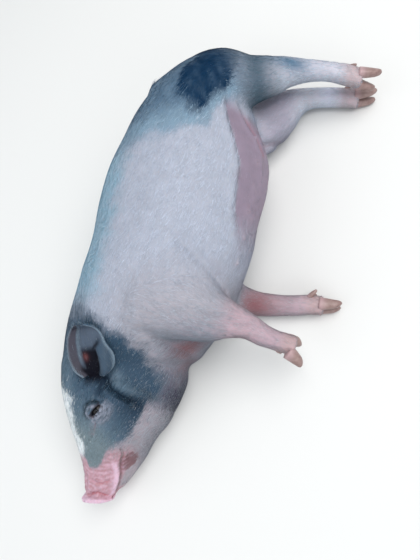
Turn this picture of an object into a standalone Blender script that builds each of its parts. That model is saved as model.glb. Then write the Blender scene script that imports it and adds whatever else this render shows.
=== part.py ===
"""A miniature pig lying on its right side with its legs stretched out, life size.

The pig lies on the floor plane z = 0. Its back points to -X, its legs to +X, its rump to +Y and
its snout to -Y, and its left flank is up. Each part of the body is a lofted form given by a few
stations along its middle line. The flesh is joined, smoothed where the limbs run into the trunk,
flattened where it lies on the floor and parted by thin cuts into the pieces that a person would
name. Stations are in millimetres from the point on the floor below the eye that looks at the pig,
and OUTLINE_CENTRE takes them to the middle of the whole model's outline.
"""

import math

import bmesh
import bpy
import numpy as np
from mathutils import Matrix, Vector

MM = 0.001
GAP = 0.3
OUTLINE_CENTRE = Vector((-134.28, 131.39, 0.0))

# Driving sizes of the flesh: voxel and triangle budget of the joined body
VOXEL = 4.0
BODY_TRIANGLES = 6000
RING_SIDES = 44
RINGS_PER_STATION = 5

# Stations: middle x, y, z, half size along the back-belly line, half size across, roll in degrees
# (the roll turns the back-belly line up from the horizontal)
TRUNK = [
    (-136, 410, 88, 42, 62, 4),
    (-149, 390, 91, 66, 82, 3),
    (-157, 360, 93, 82, 92, 2),
    (-164, 322, 94, 100, 97, 0),
    (-169.5, 275, 94, 117.5, 99, 0),
    (-178, 228, 94, 122, 98, 0),
    (-190, 176, 93, 119, 96, 0),
    (-205, 126, 92, 118, 95, 2),
    (-222, 84, 86, 116, 87, 6),
    (-240, 46, 76, 110, 75, 12),
    (-257, 12, 67, 101, 64, 20),
    (-268, -14, 62, 90, 58, 26),
]
HEAD = [
    (-264, 26, 66, 94, 64, 24),
    (-270, -2, 63, 92, 62, 29),
    (-274, -32, 60, 88, 60, 32),
    (-277, -60, 57, 80, 56, 34),
    (-283, -88, 52, 68, 48, 35),
    (-289, -112, 47, 56, 40, 35),
    (-294, -134, 42, 47, 33, 35),
    (-301, -154, 39, 38, 28, 35),
    (-308, -170, 38, 31, 25, 35),
    (-313, -181, 38, 26, 24, 35),
]
JOWL = [
    (-222, 0, 44, 30, 36, 0),
    (-222, -22, 42, 36, 42, 0),
    (-230, -46, 38, 36, 40, 0),
    (-240, -70, 32, 30, 32, 0),
]
SNOUT = [
    (-312, -172, 38, 24, 24, 35),
    (-316, -181, 38, 22, 23, 35),
    (-318, -184.5, 38, 24.5, 26.5, 35),
    (-319, -189, 38, 24.5, 26.5, 35),
]
# Leg stations run from the root, deep in the trunk, to the end of the pastern
FORELEG_LEFT = [
    (-205, 92, 128, 62, 48, 0),
    (-165, 76, 134, 52, 42, 0),
    (-132, 62, 130, 38, 33, 0),
    (-108, 56, 120, 26, 26, 0),
    (-86, 49, 109, 19, 20, 0),
    (-68, 38.5, 98, 15.5, 16.5, 0),
    (-54, 32, 88, 14, 15, 0),
    (-45, 28, 82, 15.5, 15, 0),
    (-33, 22.5, 75, 17.5, 15, 0),
]
FORELEG_RIGHT = [
    (-200, 96, 52, 54, 46, 0),
    (-150, 98, 42, 42, 38, 0),
    (-112, 94, 30, 27, 28, 0),
    (-84, 90, 22, 20, 21, 0),
    (-56, 87, 18, 18, 18, 0),
    (-28, 86, 17, 16, 16, 0),
    (-6, 86, 16, 15.5, 15.5, 0),
    (10, 84, 15, 16, 14.5, 0),
]
HINDLEG_LEFT = [
    (-172, 350, 113, 64, 62, 0),
    (-138, 373, 122, 62, 52, 0),
    (-104, 390, 121, 52, 42, 0),
    (-70, 396.5, 114, 34.5, 31.5, 0),
    (-44, 403.5, 106, 28, 26, 0),
    (-24, 411, 99, 22.5, 21, 0),
    (2, 415.5, 89, 17, 16.5, 0),
    (34, 417, 77, 14.5, 14, 0),
    (62, 415, 66, 16, 14.5, 0),
    (80, 411, 59, 16, 14, 0),
]
HINDLEG_RIGHT = [
    (-168, 350, 62, 78, 60, 0),
    (-118, 352, 50, 60, 48, 0),
    (-76, 364, 38.5, 48, 36.5, 0),
    (-44, 386, 33, 37, 32, 0),
    (-20, 404, 28, 25.5, 26.5, 0),
    (2, 414, 22.5, 18.5, 20, 0),
    (30, 415, 18, 15, 16.5, 0),
    (62, 411, 16, 15.5, 15.5, 0),
    (80, 408, 15, 16, 14.5, 0),
]
TAIL = [
    (-146, 434, 104, 9, 9, 0),
    (-160, 446, 94, 7.5, 7.5, 0),
    (-172, 448, 76, 6.5, 6.5, 0),
    (-182, 444, 54, 5.5, 5.5, 0),
    (-190, 436, 32, 4.8, 4.8, 0),
    (-200, 427, 13, 4.3, 4.3, 0),
    (-213, 419, 6.0, 3.6, 3.6, 0),
    (-228, 413, 4.4, 2.8, 2.8, 0),
]

SKIN_PINK = (0.80, 0.55, 0.50)
COAT_WHITE = (0.78, 0.74, 0.72)
COAT_GREY = (0.16, 0.19, 0.23)
HORN = (0.52, 0.36, 0.31)
EYE_DARK = (0.02, 0.015, 0.012)


def clear_scene():
    for old in list(bpy.data.objects):
        bpy.data.objects.remove(old, do_unlink=True)


def make_collections():
    pig = bpy.data.collections.new("miniature_pig")
    cutters = bpy.data.collections.new("cutters")
    for collection in (pig, cutters):
        bpy.context.scene.collection.children.link(collection)
    return pig, cutters


def material(name, colour, roughness):
    made = bpy.data.materials.new(name)
    made.use_nodes = True
    shader = made.node_tree.nodes["Principled BSDF"]
    shader.inputs["Base Color"].default_value = (*colour, 1.0)
    shader.inputs["Roughness"].default_value = roughness
    shader.inputs["Metallic"].default_value = 0.0
    return made


def smooth_stations(stations, per_station=RINGS_PER_STATION):
    """Station rows read from a Catmull-Rom curve through the named ones."""
    rows = np.array(stations, float)
    padded = np.vstack([2 * rows[0] - rows[1], rows, 2 * rows[-1] - rows[-2]])
    steps = np.arange(per_station * (len(rows) - 1) + 1) / per_station
    index = np.minimum(steps.astype(int), len(rows) - 2)
    t = (steps - index)[:, None]
    a, b, c, d = (padded[index + k] for k in range(4))
    return 0.5 * (2 * b + (c - a) * t + (2 * a - 5 * b + 4 * c - d) * t ** 2
                  + (3 * b - a - 3 * c + d) * t ** 3)


def ring_frames(rows, base, upright):
    """Tangent, depth and width directions of each ring, turned by the station's roll."""
    if upright is None:
        tangent = np.gradient(rows[:, :3], axis=0)
        tangent /= np.linalg.norm(tangent, axis=1)[:, None]
    else:
        tangent = np.tile(np.array(upright, float), (len(rows), 1))
    depth = np.array(base, float) - tangent * (tangent @ np.array(base, float))[:, None]
    depth /= np.linalg.norm(depth, axis=1)[:, None]
    width = np.cross(depth, tangent)
    width *= np.where(width[:, 2] < 0, -1.0, 1.0)[:, None]
    roll = np.radians(rows[:, 5])[:, None]
    return tangent, depth * np.cos(roll) + width * np.sin(roll), width * np.cos(roll) - depth * np.sin(roll)


def loft(name, stations, collection, base=(-1, 0, 0), upright=None, domes=(0.5, 0.5),
         sides=RING_SIDES, per_station=RINGS_PER_STATION, dome_angles=(75, 50, 25)):
    """A closed skin over oval rings, with domed ends that reach out by a share of the end's size."""
    rows = smooth_stations(stations, per_station)
    tangent, depth, width = ring_frames(rows, base, upright)
    angle = np.linspace(0, 2 * math.pi, sides, endpoint=False)
    rings = []
    dome = np.radians(dome_angles)
    for share in dome:
        reach = domes[0] * 0.5 * (rows[0, 3] + rows[0, 4]) * math.sin(share)
        rings.append((rows[0], -tangent[0] * reach, depth[0], width[0], math.cos(share)))
    for row, d, w in zip(rows, depth, width):
        rings.append((row, np.zeros(3), d, w, 1.0))
    for share in dome[::-1]:
        reach = domes[1] * 0.5 * (rows[-1, 3] + rows[-1, 4]) * math.sin(share)
        rings.append((rows[-1], tangent[-1] * reach, depth[-1], width[-1], math.cos(share)))
    mesh = bmesh.new()
    loops = []
    for row, shift, d, w, scale in rings:
        points = (row[:3] + shift + scale * (row[3] * np.cos(angle)[:, None] * d
                                             + row[4] * np.sin(angle)[:, None] * w))
        loops.append([mesh.verts.new(Vector(p)) for p in points])
    for low, high in zip(loops[:-1], loops[1:]):
        for i in range(sides):
            j = (i + 1) % sides
            mesh.faces.new((low[i], low[j], high[j], high[i]))
    mesh.faces.new(loops[0])
    mesh.faces.new(loops[-1])
    return finish_mesh(name, mesh, collection)


def finish_mesh(name, mesh, collection):
    """A new object from a bmesh in millimetres, its faces turned outwards."""
    bmesh.ops.recalc_face_normals(mesh, faces=mesh.faces[:])
    data = bpy.data.meshes.new(name)
    mesh.to_mesh(data)
    mesh.free()
    made = bpy.data.objects.new(name, data)
    collection.objects.link(made)
    return made


def turn_out(target):
    """Turns a closed mesh's faces outwards."""
    mesh = bmesh.new()
    mesh.from_mesh(target.data)
    bmesh.ops.recalc_face_normals(mesh, faces=mesh.faces[:])
    mesh.to_mesh(target.data)
    mesh.free()


def evaluated_copy(source, name, collection):
    """A plain mesh object of what the modifiers of another give."""
    graph = bpy.context.evaluated_depsgraph_get()
    data = bpy.data.meshes.new_from_object(source.evaluated_get(graph))
    made = bpy.data.objects.new(name, data)
    collection.objects.link(made)
    return made


def discard(objects):
    for old in objects:
        bpy.data.objects.remove(old, do_unlink=True)


def union(name, objects, collection, solver="EXACT"):
    """One closed body from overlapping ones, by one Boolean on a collection of them."""
    group = bpy.data.collections.new(name + "_pieces")
    for piece in objects[1:]:
        group.objects.link(piece)
    first = objects[0]
    join = first.modifiers.new("join", "BOOLEAN")
    join.operation = "UNION"
    join.operand_type = "COLLECTION"
    join.collection = group
    join.solver = solver
    made = evaluated_copy(first, name, collection)
    discard(objects)
    made.name = name
    bpy.data.collections.remove(group)
    keep_biggest_island(made)
    return made


def cut(target, cutter, solver="EXACT", operation="DIFFERENCE"):
    """Takes the cutter's volume out of the target's mesh, or keeps only what lies in it."""
    remove = target.modifiers.new("cut", "BOOLEAN")
    remove.operation = operation
    remove.object = cutter
    remove.solver = solver
    graph = bpy.context.evaluated_depsgraph_get()
    data = bpy.data.meshes.new_from_object(target.evaluated_get(graph))
    target.modifiers.clear()
    target.data = data


def islands(mesh):
    """The vertex sets of a bmesh's separate surfaces."""
    left = set(mesh.verts)
    found = []
    while left:
        stack = [left.pop()]
        island = set(stack)
        while stack:
            for edge in stack.pop().link_edges:
                for vert in edge.verts:
                    if vert in left:
                        left.discard(vert)
                        island.add(vert)
                        stack.append(vert)
        found.append(island)
    return found


def island_size(island):
    low = [min(v.co[k] for v in island) for k in range(3)]
    high = [max(v.co[k] for v in island) for k in range(3)]
    return (high[0] - low[0]) * (high[1] - low[1]) * (high[2] - low[2])


def keep_biggest_island(target):
    mesh = bmesh.new()
    mesh.from_mesh(target.data)
    found = islands(mesh)
    biggest = max(found, key=island_size)
    loose = [v for island in found if island is not biggest for v in island]
    bmesh.ops.delete(mesh, geom=loose, context="VERTS")
    mesh.to_mesh(target.data)
    mesh.free()


def box(name, centre, size, turn, collection):
    """A box given by its middle, its full sizes and a turn matrix."""
    mesh = bmesh.new()
    bmesh.ops.create_cube(mesh, size=1.0)
    place = Matrix.Translation(Vector(centre)) @ turn.to_4x4() @ Matrix.Diagonal((*size, 1.0))
    bmesh.ops.transform(mesh, matrix=place, verts=mesh.verts[:])
    made = finish_mesh(name, mesh, collection)
    made.hide_render = True
    made.display_type = "WIRE"
    return made


# Where limbs run into the trunk and the jaw into the throat, the joined skin is smoothed:
# middle and reach of each place
BLENDS = [
    ((-120, 70, 120), 70), ((-130, 95, 40), 70), ((-105, 375, 120), 70), ((-90, 350, 45), 75),
    ((-195, 10, 60), 70), ((-330, 20, 70), 70), ((-95, 395, 70), 60), ((-150, 110, 80), 60),
    ((-235, -60, 40), 55), ((-150, 420, 90), 60), ((-160, 60, 150), 60), ((-150, 350, 160), 60),
]
BLEND_ROUNDS = 26
EVEN_ROUNDS = 3
FLOOR_BLOCK = 1400.0


def blend_weight(point):
    reach = [max(0.0, 1.0 - (point - Vector(at)).length / size) for at, size in BLENDS]
    return min(1.0, 2.0 * max(reach))


def cut_at_floor(target, workshop, height=0.0):
    """Takes off what lies under a height over the floor."""
    block = box("below_floor", (0, 0, height - FLOOR_BLOCK / 2), (FLOOR_BLOCK,) * 3, Matrix.Identity(3),
                workshop)
    cut(target, block)
    discard([block])
    keep_biggest_island(target)


def make_flesh(workshop):
    """Trunk, head and legs as one smooth closed skin, flat where it lies on the floor."""
    pieces = [
        loft("trunk", TRUNK, workshop, upright=(0, -1, 0), domes=(0.75, 0.3)),
        loft("skull", HEAD, workshop, upright=(0, -1, 0), domes=(0.2, 0.2)),
        loft("jowl", JOWL, workshop, upright=(0, -1, 0), domes=(0.8, 0.8)),
        loft("snout_root", SNOUT, workshop, upright=DISC_FACING, domes=(0.2, 0.12)),
        loft("foreleg_l", FORELEG_LEFT, workshop, base=(0, 1, 0), domes=(0.4, 0.1)),
        loft("foreleg_r", FORELEG_RIGHT, workshop, base=(0, 1, 0), domes=(0.4, 0.1)),
        loft("hindleg_l", HINDLEG_LEFT, workshop, base=(0, 1, 0), domes=(0.4, 0.1)),
        loft("hindleg_r", HINDLEG_RIGHT, workshop, base=(0, 1, 0), domes=(0.4, 0.1)),
    ]
    whole = union("whole", pieces, workshop)
    remesh = whole.modifiers.new("even", "REMESH")
    remesh.mode = "VOXEL"
    remesh.voxel_size = VOXEL
    even = evaluated_copy(whole, "even", workshop)
    discard([whole])
    group = even.vertex_groups.new(name="blend")
    for vert in even.data.vertices:
        group.add([vert.index], blend_weight(vert.co), "REPLACE")
    blend = even.modifiers.new("blend", "SMOOTH")
    blend.factor = 0.5
    blend.iterations = BLEND_ROUNDS
    blend.vertex_group = "blend"
    relax = even.modifiers.new("relax", "SMOOTH")
    relax.factor = 0.5
    relax.iterations = EVEN_ROUNDS
    thin = even.modifiers.new("thin", "DECIMATE")
    thin.ratio = BODY_TRIANGLES / (2.0 * len(even.data.polygons))
    flesh = evaluated_copy(even, "flesh", workshop)
    discard([even])
    cut_at_floor(flesh, workshop)
    return flesh


# Thin cuts that part the flesh: a point on the cut, the direction across it, a direction along
# its first side, and the reach along and across that direction
CUTS = [
    ("behind the jaw", (-265, 10, 70), (-0.23, -0.97, 0.0), (0, 0, 1), (170, 300)),
    ("before the shoulder", (-247, 50, 80), (-0.34, -0.94, 0.0), (0, 0, 1), (240, 300)),
    ("behind the shoulder", (-200, 150, 95), (0.06, -1.0, 0.0), (0, 0, 1), (240, 340)),
    ("before the hip", (-160, 324, 95), (0.05, -1.0, 0.0), (0, 0, 1), (240, 330)),
    ("thighs", (-90, 396, 95), (1.0, 0.0, 0.0), (0, 0, 1), (240, 146)),
    ("between the thighs", (-57, 395, 82), (0.0, 0.0, 1.0), (1, 0, 0), (67, 146)),
    ("left stifle", (-54, 403, 109), (0.88, 0.3, -0.3), (0, 0, 1), (70, 80)),
    ("left hock", (-14, 415, 95), (0.93, 0.12, -0.35), (0, 0, 1), (60, 70)),
    ("right stifle", (-40, 379, 29), (0.72, 0.68, -0.1), (0, 0, 1), (86, 110)),
    ("right hock", (8, 414, 21), (0.98, 0.15, -0.1), (0, 0, 1), (60, 70)),
    ("left elbow", (-99, 52, 115), (0.93, -0.2, -0.3), (0, 0, 1), (78, 84)),
    ("left knee", (-62, 32, 95), (0.78, -0.50, -0.40), (0, 0, 1), (56, 60)),
    ("right elbow", (-90, 91, 24), (1.0, 0.0, -0.1), (0, 0, 1), (60, 66)),
    ("right knee", (-34, 86, 17), (1.0, 0.0, 0.0), (0, 0, 1), (56, 60)),
]
# A point inside each part of the flesh
PARTS = {
    "head": (-282, -50, 60),
    "snout": (-317, -181, 38),
    "neck": (-250, 28, 74),
    "chest": (-210, 104, 92),
    "belly": (-178, 235, 94),
    "rump": (-155, 370, 94),
    "hindleg_left_thigh": (-74, 398, 116),
    "hindleg_left_shank": (-34, 410, 102),
    "hindleg_left_foot": (34, 417, 77),
    "hindleg_right_thigh": (-66, 362, 36),
    "hindleg_right_shank": (-18, 400, 26),
    "hindleg_right_foot": (40, 413, 17),
    "foreleg_left_upper": (-80, 44, 106),
    "foreleg_left_foot": (-48, 23, 86),
    "foreleg_right_upper": (-60, 88, 19),
    "foreleg_right_foot": (-10, 86, 16),
}

# Places on the head: y, then steps toward the forehead and toward the left cheek.
# A nostril: steps toward the cheek and the forehead, then half height, half width and half depth
EYE_PLACE = (-57, 40.0, 39.8)
EYE_RADIUS = 9.5
EYE_LOOK = (0.50, 0.22, 0.84)
MOUTH_CORNER = (-113, -3, 0)
MOUTH_FRONT = (-172, -22, 0)
MOUTH_REACH = 78
LIP_RADIUS = 2.2
LIP_GAP = 0.5
SNOUT_CUT_Y = -171.0
DISC_MIDDLE = (-318.5, -189.5, 38)
DISC_FACING = (0.03, -1, 0.02)
NOSTRIL = (9.5, 1.5, 5.2, 3.9, 9.0)
LID_TUBE = 2.6
LID_DISTANCE = 10.8
LID_SLIT = 0.30
LID_CORNER_ANGLE = 78.0
JAW_DEPTH = 80.0
JAW_WIDTH = 130.0

# Feet: end of the pastern, direction of the toes, direction across the two claws, claw length,
# spread of the tips, direction of the dewclaws' side, and half width of a claw
FEET = {
    "foreleg_left": ((-35, 23.2, 76), (0.78, -0.30, -0.50), (-0.10, 0.85, -0.50), 22, 0.35,
                     (-0.35, -0.15, -0.90), 8.6),
    "foreleg_right": ((8, 84, 15.7), (0.98, -0.20, -0.02), (0.10, 0.25, 0.96), 27, 0.03,
                      (0.10, 0.97, 0.1), 7.2),
    "hindleg_left": ((78, 411.5, 60), (0.94, -0.24, -0.24), (0.15, 0.45, 0.87), 28, 0.14,
                     (0.1, 0.85, -0.4), 7.2),
    "hindleg_right": ((78, 408.5, 15.7), (0.99, -0.12, -0.02), (0.05, 0.25, 0.96), 28, 0.03,
                      (0.10, 0.97, 0.1), 7.2),
}
CLAW_HEIGHT = 12.0
CLAW_GAP = 0.6
# Along a claw: share of its length, share of its full size, drop of its middle line
CLAW_PROFILE = ((0, 1.0, 0.0), (0.35, 0.96, 0.4), (0.7, 0.72, 1.2), (1.0, 0.34, 3.0))
CLAW_DOME = 0.5
DEWCLAW_BACK = 17.0
DEWCLAW_ASIDE = 7.0
DEWCLAW_BEHIND = 8.0
DEWCLAW_STEP = 4.67
DEWCLAW_RADII = (4.2, 4.2, 3.4, 1.8)
FOOT_TRIM = 30.0
FOOT_REACH = (46, 60)

# Ears: root, direction to the tip, direction that the cup opens to
EAR_LENGTH = 72.0
EAR_THICKNESS = 3.4
EAR_LIFT = 0.4
EAR_SINK = 0.55
EARS = {
    "ear_left": ((-291, -9, 124), (-0.07, 0.78, 0.62), (0.05, -0.61, 0.77)),
    "ear_right": ((-322, 2, 24), (-0.62, 0.78, -0.02), (-0.10, -0.16, 0.98)),
}
# Along each ear: share of its length, half length of the arc across, half angle of the arc
EAR_PROFILE = [
    (0.00, 22, 150),
    (0.10, 29, 112),
    (0.25, 37, 80),
    (0.42, 41, 66),
    (0.60, 38, 54),
    (0.78, 29, 44),
    (0.90, 19, 38),
    (1.00, 5, 32),
]


def head_frame(y):
    """Middle of the head's section at y, and its directions to the forehead and the left cheek."""
    rows = np.array(HEAD, float)[::-1]
    middle = Vector([np.interp(y, rows[:, 1], rows[:, k]) for k in (0, 1, 2)])
    middle.y = y
    roll = math.radians(np.interp(y, rows[:, 1], rows[:, 5]))
    return (middle, Vector((-math.cos(roll), 0, math.sin(roll))),
            Vector((math.sin(roll), 0, math.cos(roll))))


def head_point(place):
    middle, forehead, cheek = head_frame(place[0])
    return middle + forehead * float(place[1]) + cheek * float(place[2])


def slab(name, point, normal, along, reach, workshop, thickness=GAP):
    """A thin box on a plane, for a cut; its sides lie along the given direction."""
    n = Vector(normal).normalized()
    a = (Vector(along) - n * n.dot(Vector(along))).normalized()
    turn = Matrix((n, a, n.cross(a))).transposed()
    return box(name, point, (thickness, reach[0], reach[1]), turn, workshop)


def snout_cutter(workshop):
    """The thin cut behind the snout's disc, which stops at the line of the mouth."""
    root = head_point((SNOUT_CUT_Y, 0, 0))
    forehead = head_frame(SNOUT_CUT_Y)[1]
    return slab("snout_root", root + forehead * (MOUTH_FRONT[1] + JAW_DEPTH / 2 - 1), DISC_FACING,
                forehead, (JAW_DEPTH, JAW_WIDTH), workshop)


def jaw_block(name, margin, workshop):
    """A block under the line of the mouth and before its corner, larger by a margin all round."""
    corner = head_point(MOUTH_CORNER)
    run = (head_point(MOUTH_FRONT) - corner).normalized()
    cheek = head_frame(MOUTH_CORNER[0])[2]
    down = run.cross(cheek).normalized()
    if down.x < 0:
        down = -down
    middle = corner + run * (0.5 * MOUTH_REACH) + down * (0.5 * JAW_DEPTH)
    turn = Matrix((run, down, run.cross(down))).transposed()
    size = (MOUTH_REACH + 2 * margin, JAW_DEPTH + 2 * margin, JAW_WIDTH)
    return box(name, middle, size, turn, workshop)


def split_jaw(flesh, pig, workshop):
    """Parts the lower jaw from the rest along the line of the mouth."""
    inner = jaw_block("jaw_inside", 0.0, workshop)
    outer = jaw_block("jaw_outside", LIP_GAP, workshop)
    jaw = bpy.data.objects.new("lower_jaw", flesh.data.copy())
    pig.objects.link(jaw)
    cut(jaw, inner, "MANIFOLD", "INTERSECT")
    keep_biggest_island(jaw)
    cut(flesh, outer, "MANIFOLD")
    discard([inner, outer])
    return jaw


def part_flesh(flesh, pig, workshop):
    """Parts the flesh with the thin cuts and names each piece by the point that it holds."""
    made = {"lower_jaw": split_jaw(flesh, pig, workshop)}
    cutters = [slab(name, point, normal, along, reach, workshop)
               for name, point, normal, along, reach in CUTS]
    cutters.append(snout_cutter(workshop))
    for name, (end, toes, *_rest) in FEET.items():
        direction = Vector(toes).normalized()
        cutters.append(slab(name + "_end", Vector(end) + direction * FOOT_TRIM / 2, direction,
                            (0, 0, 1), FOOT_REACH, workshop, FOOT_TRIM))
    for cutter in cutters:
        cut(flesh, cutter, "MANIFOLD")
    mesh = bmesh.new()
    mesh.from_mesh(flesh.data)
    discard(cutters + [flesh])
    found = [(island, sum((v.co for v in island), Vector()) / len(island)) for island in islands(mesh)]
    for name, point in PARTS.items():
        near = min(found, key=lambda item: (item[1] - Vector(point)).length)
        piece = mesh.copy()
        mesh.verts.index_update()
        keep = {v.index for v in near[0]}
        piece.verts.ensure_lookup_table()
        bmesh.ops.delete(piece, geom=[v for v in piece.verts if v.index not in keep], context="VERTS")
        bmesh.ops.remove_doubles(piece, verts=piece.verts[:], dist=0.002)
        bmesh.ops.triangulate(piece, faces=piece.faces[:])
        made[name] = finish_mesh(name, piece, pig)
    mesh.free()
    return made


def grown_copy(source, distance, collection):
    """A copy of a closed mesh whose skin lies further out by a distance."""
    made = bpy.data.objects.new(source.name + "_grown", source.data.copy())
    collection.objects.link(made)
    normals = [Vector(v.normal) for v in made.data.vertices]
    for vert, normal in zip(made.data.vertices, normals):
        vert.co += normal * distance
    made.hide_render = True
    made.display_type = "WIRE"
    return made


def eye_centre(side):
    """Centre of an eyeball; side is 1 for the left eye and -1 for the right."""
    return head_point((EYE_PLACE[0], EYE_PLACE[1], side * EYE_PLACE[2]))


def eye_look(side):
    _, forehead, cheek = head_frame(EYE_PLACE[0])
    return (forehead * EYE_LOOK[0] + Vector((0, -EYE_LOOK[1], 0)) + cheek * side * EYE_LOOK[2]).normalized()


def lid(side, upper, workshop):
    """One lid as a bent tube over the eyeball, from corner to corner, thickest in the middle."""
    centre = eye_centre(side)
    look = eye_look(side)
    forehead = head_frame(EYE_PLACE[0])[1]
    run = Vector((0.15 * side, 1, 0)) - look * look.dot(Vector((0.15 * side, 1, 0)))
    run.normalize()
    rise = look.cross(run).normalized()
    if rise.dot(forehead) < 0:
        rise = -rise
    lift = 1.0 if upper else -1.0
    stations = []
    for angle in np.radians(np.linspace(-LID_CORNER_ANGLE, LID_CORNER_ANGLE, 7)).tolist():
        bow = math.cos(angle)
        tilt = lift * (LID_SLIT * bow + 0.10)
        aim = (look * math.cos(angle) + run * math.sin(angle)).normalized()
        aim = (aim * math.cos(tilt) + rise * math.sin(tilt)).normalized()
        at = centre + aim * LID_DISTANCE
        size = LID_TUBE * (0.55 + 0.45 * bow)
        stations.append((*at, size, size, 0))
    return loft("lid", stations, workshop, base=tuple(look), domes=(0.8, 0.8), sides=7,
                per_station=1, dome_angles=(45,))


def lip(side, above, workshop):
    """A rolled lip along one side of the mouth's line."""
    forehead = head_frame(MOUTH_CORNER[0])[1]
    rows = np.array(smooth_stations(HEAD, 4), float)
    stations = []
    for share in np.linspace(0.02, 0.93, 6).tolist():
        y = MOUTH_CORNER[0] + share * (MOUTH_FRONT[0] - MOUTH_CORNER[0])
        depth = MOUTH_CORNER[1] + share * (MOUTH_FRONT[1] - MOUTH_CORNER[1])
        half = np.interp(y, rows[::-1, 1], rows[::-1, 3])
        width = np.interp(y, rows[::-1, 1], rows[::-1, 4])
        out = width * math.sqrt(max(0.05, 1 - (depth / half) ** 2)) - 1.0
        at = head_point((y, depth + above * (LIP_RADIUS + 0.6), side * out))
        size = LIP_RADIUS * (0.75 + 0.25 * math.sin(math.pi * share))
        stations.append((*at, size, size, 0))
    return loft("lip", stations, workshop, base=tuple(forehead), domes=(0.8, 0.8), sides=7,
                per_station=1, dome_angles=(45,))


def make_face(made, pig, workshop):
    """Lids, eyes, lips and nostrils on the parted head."""
    head_extra = []
    jaw_extra = []
    for side in (1, -1):
        head_extra += [lid(side, True, workshop), lid(side, False, workshop), lip(side, 1, workshop)]
        jaw_extra.append(lip(side, -1, workshop))
    socket_cutters = []
    for side, name in ((1, "eye_left"), (-1, "eye_right")):
        for radius, grown in ((EYE_RADIUS, False), (EYE_RADIUS + GAP, True)):
            mesh = bmesh.new()
            bmesh.ops.create_uvsphere(mesh, u_segments=14, v_segments=9, radius=radius)
            turn = eye_look(side).to_track_quat("Z", "Y").to_matrix().to_4x4()
            bmesh.ops.transform(mesh, matrix=Matrix.Translation(eye_centre(side)) @ turn,
                                verts=mesh.verts[:])
            ball = finish_mesh(name + ("_socket" if grown else ""), mesh, workshop if grown else pig)
            if grown:
                ball.hide_render = True
                ball.display_type = "WIRE"
                socket_cutters.append(ball)
            else:
                made[name] = ball
    made["head"] = union("head", [made["head"]] + head_extra, pig, "MANIFOLD")
    made["lower_jaw"] = union("lower_jaw", [made["lower_jaw"]] + jaw_extra, pig, "MANIFOLD")
    inner = jaw_block("jaw_inside", 0.0, workshop)
    outer = jaw_block("jaw_outside", LIP_GAP, workshop)
    cut(made["head"], outer, "MANIFOLD")
    cut(made["lower_jaw"], inner, "MANIFOLD", "INTERSECT")
    discard([inner, outer])
    for ball in socket_cutters:
        cut(made["head"], ball, "MANIFOLD")
    discard(socket_cutters)
    _, forehead, cheek = head_frame(DISC_MIDDLE[1])
    for side in (1, -1):
        mesh = bmesh.new()
        bmesh.ops.create_uvsphere(mesh, u_segments=12, v_segments=8, radius=1.0)
        at = Vector(DISC_MIDDLE) + cheek * side * NOSTRIL[0] + forehead * NOSTRIL[1]
        turn = Matrix((forehead, cheek, Vector((0, -1, 0)))).transposed().to_4x4()
        size = Matrix.Diagonal((NOSTRIL[2], NOSTRIL[3], NOSTRIL[4], 1.0))
        bmesh.ops.transform(mesh, matrix=Matrix.Translation(at) @ turn @ size, verts=mesh.verts[:])
        hole = finish_mesh("nostril", mesh, workshop)
        cut(made["snout"], hole, "MANIFOLD")
        discard([hole])
    for name in ("head", "lower_jaw", "snout"):
        keep_biggest_island(made[name])


def make_ear(name, made, pig, workshop):
    """A cupped leaf with a tube-like root, thickened to a shell and cut clear of the head."""
    root, run, opening = (Vector(v) for v in EARS[name])
    run.normalize()
    opening = (opening - run * run.dot(opening)).normalized()
    across = run.cross(opening)
    profile = np.array(EAR_PROFILE, float)
    mesh = bmesh.new()
    rows = []
    for share in np.linspace(0, 1, 11).tolist():
        half = float(np.interp(share, profile[:, 0], profile[:, 1]))
        angle = math.radians(float(np.interp(share, profile[:, 0], profile[:, 2])))
        radius = half / angle
        row = []
        for t in np.linspace(-1, 1, 11).tolist():
            side = radius * math.sin(angle * t)
            depth = radius * (1 - math.cos(angle * t)) - EAR_SINK * radius
            at = root + run * (EAR_LENGTH * share) + across * side + opening * depth
            row.append(mesh.verts.new(at))
        rows.append(row)
    for low, high in zip(rows[:-1], rows[1:]):
        for i in range(len(low) - 1):
            mesh.faces.new((low[i], low[i + 1], high[i + 1], high[i]))
    leaf = finish_mesh(name + "_leaf", mesh, workshop)
    shell = leaf.modifiers.new("shell", "SOLIDIFY")
    shell.thickness = EAR_THICKNESS
    shell.offset = 0.0
    ear = evaluated_copy(leaf, name, pig)
    discard([leaf])
    turn_out(ear)
    for neighbour in ("head", "neck", "chest"):
        grown = grown_copy(made[neighbour], GAP, workshop)
        cut(ear, grown, "MANIFOLD")
        discard([grown])
    cut_at_floor(ear, workshop, EAR_LIFT)
    made[name] = ear


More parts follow.
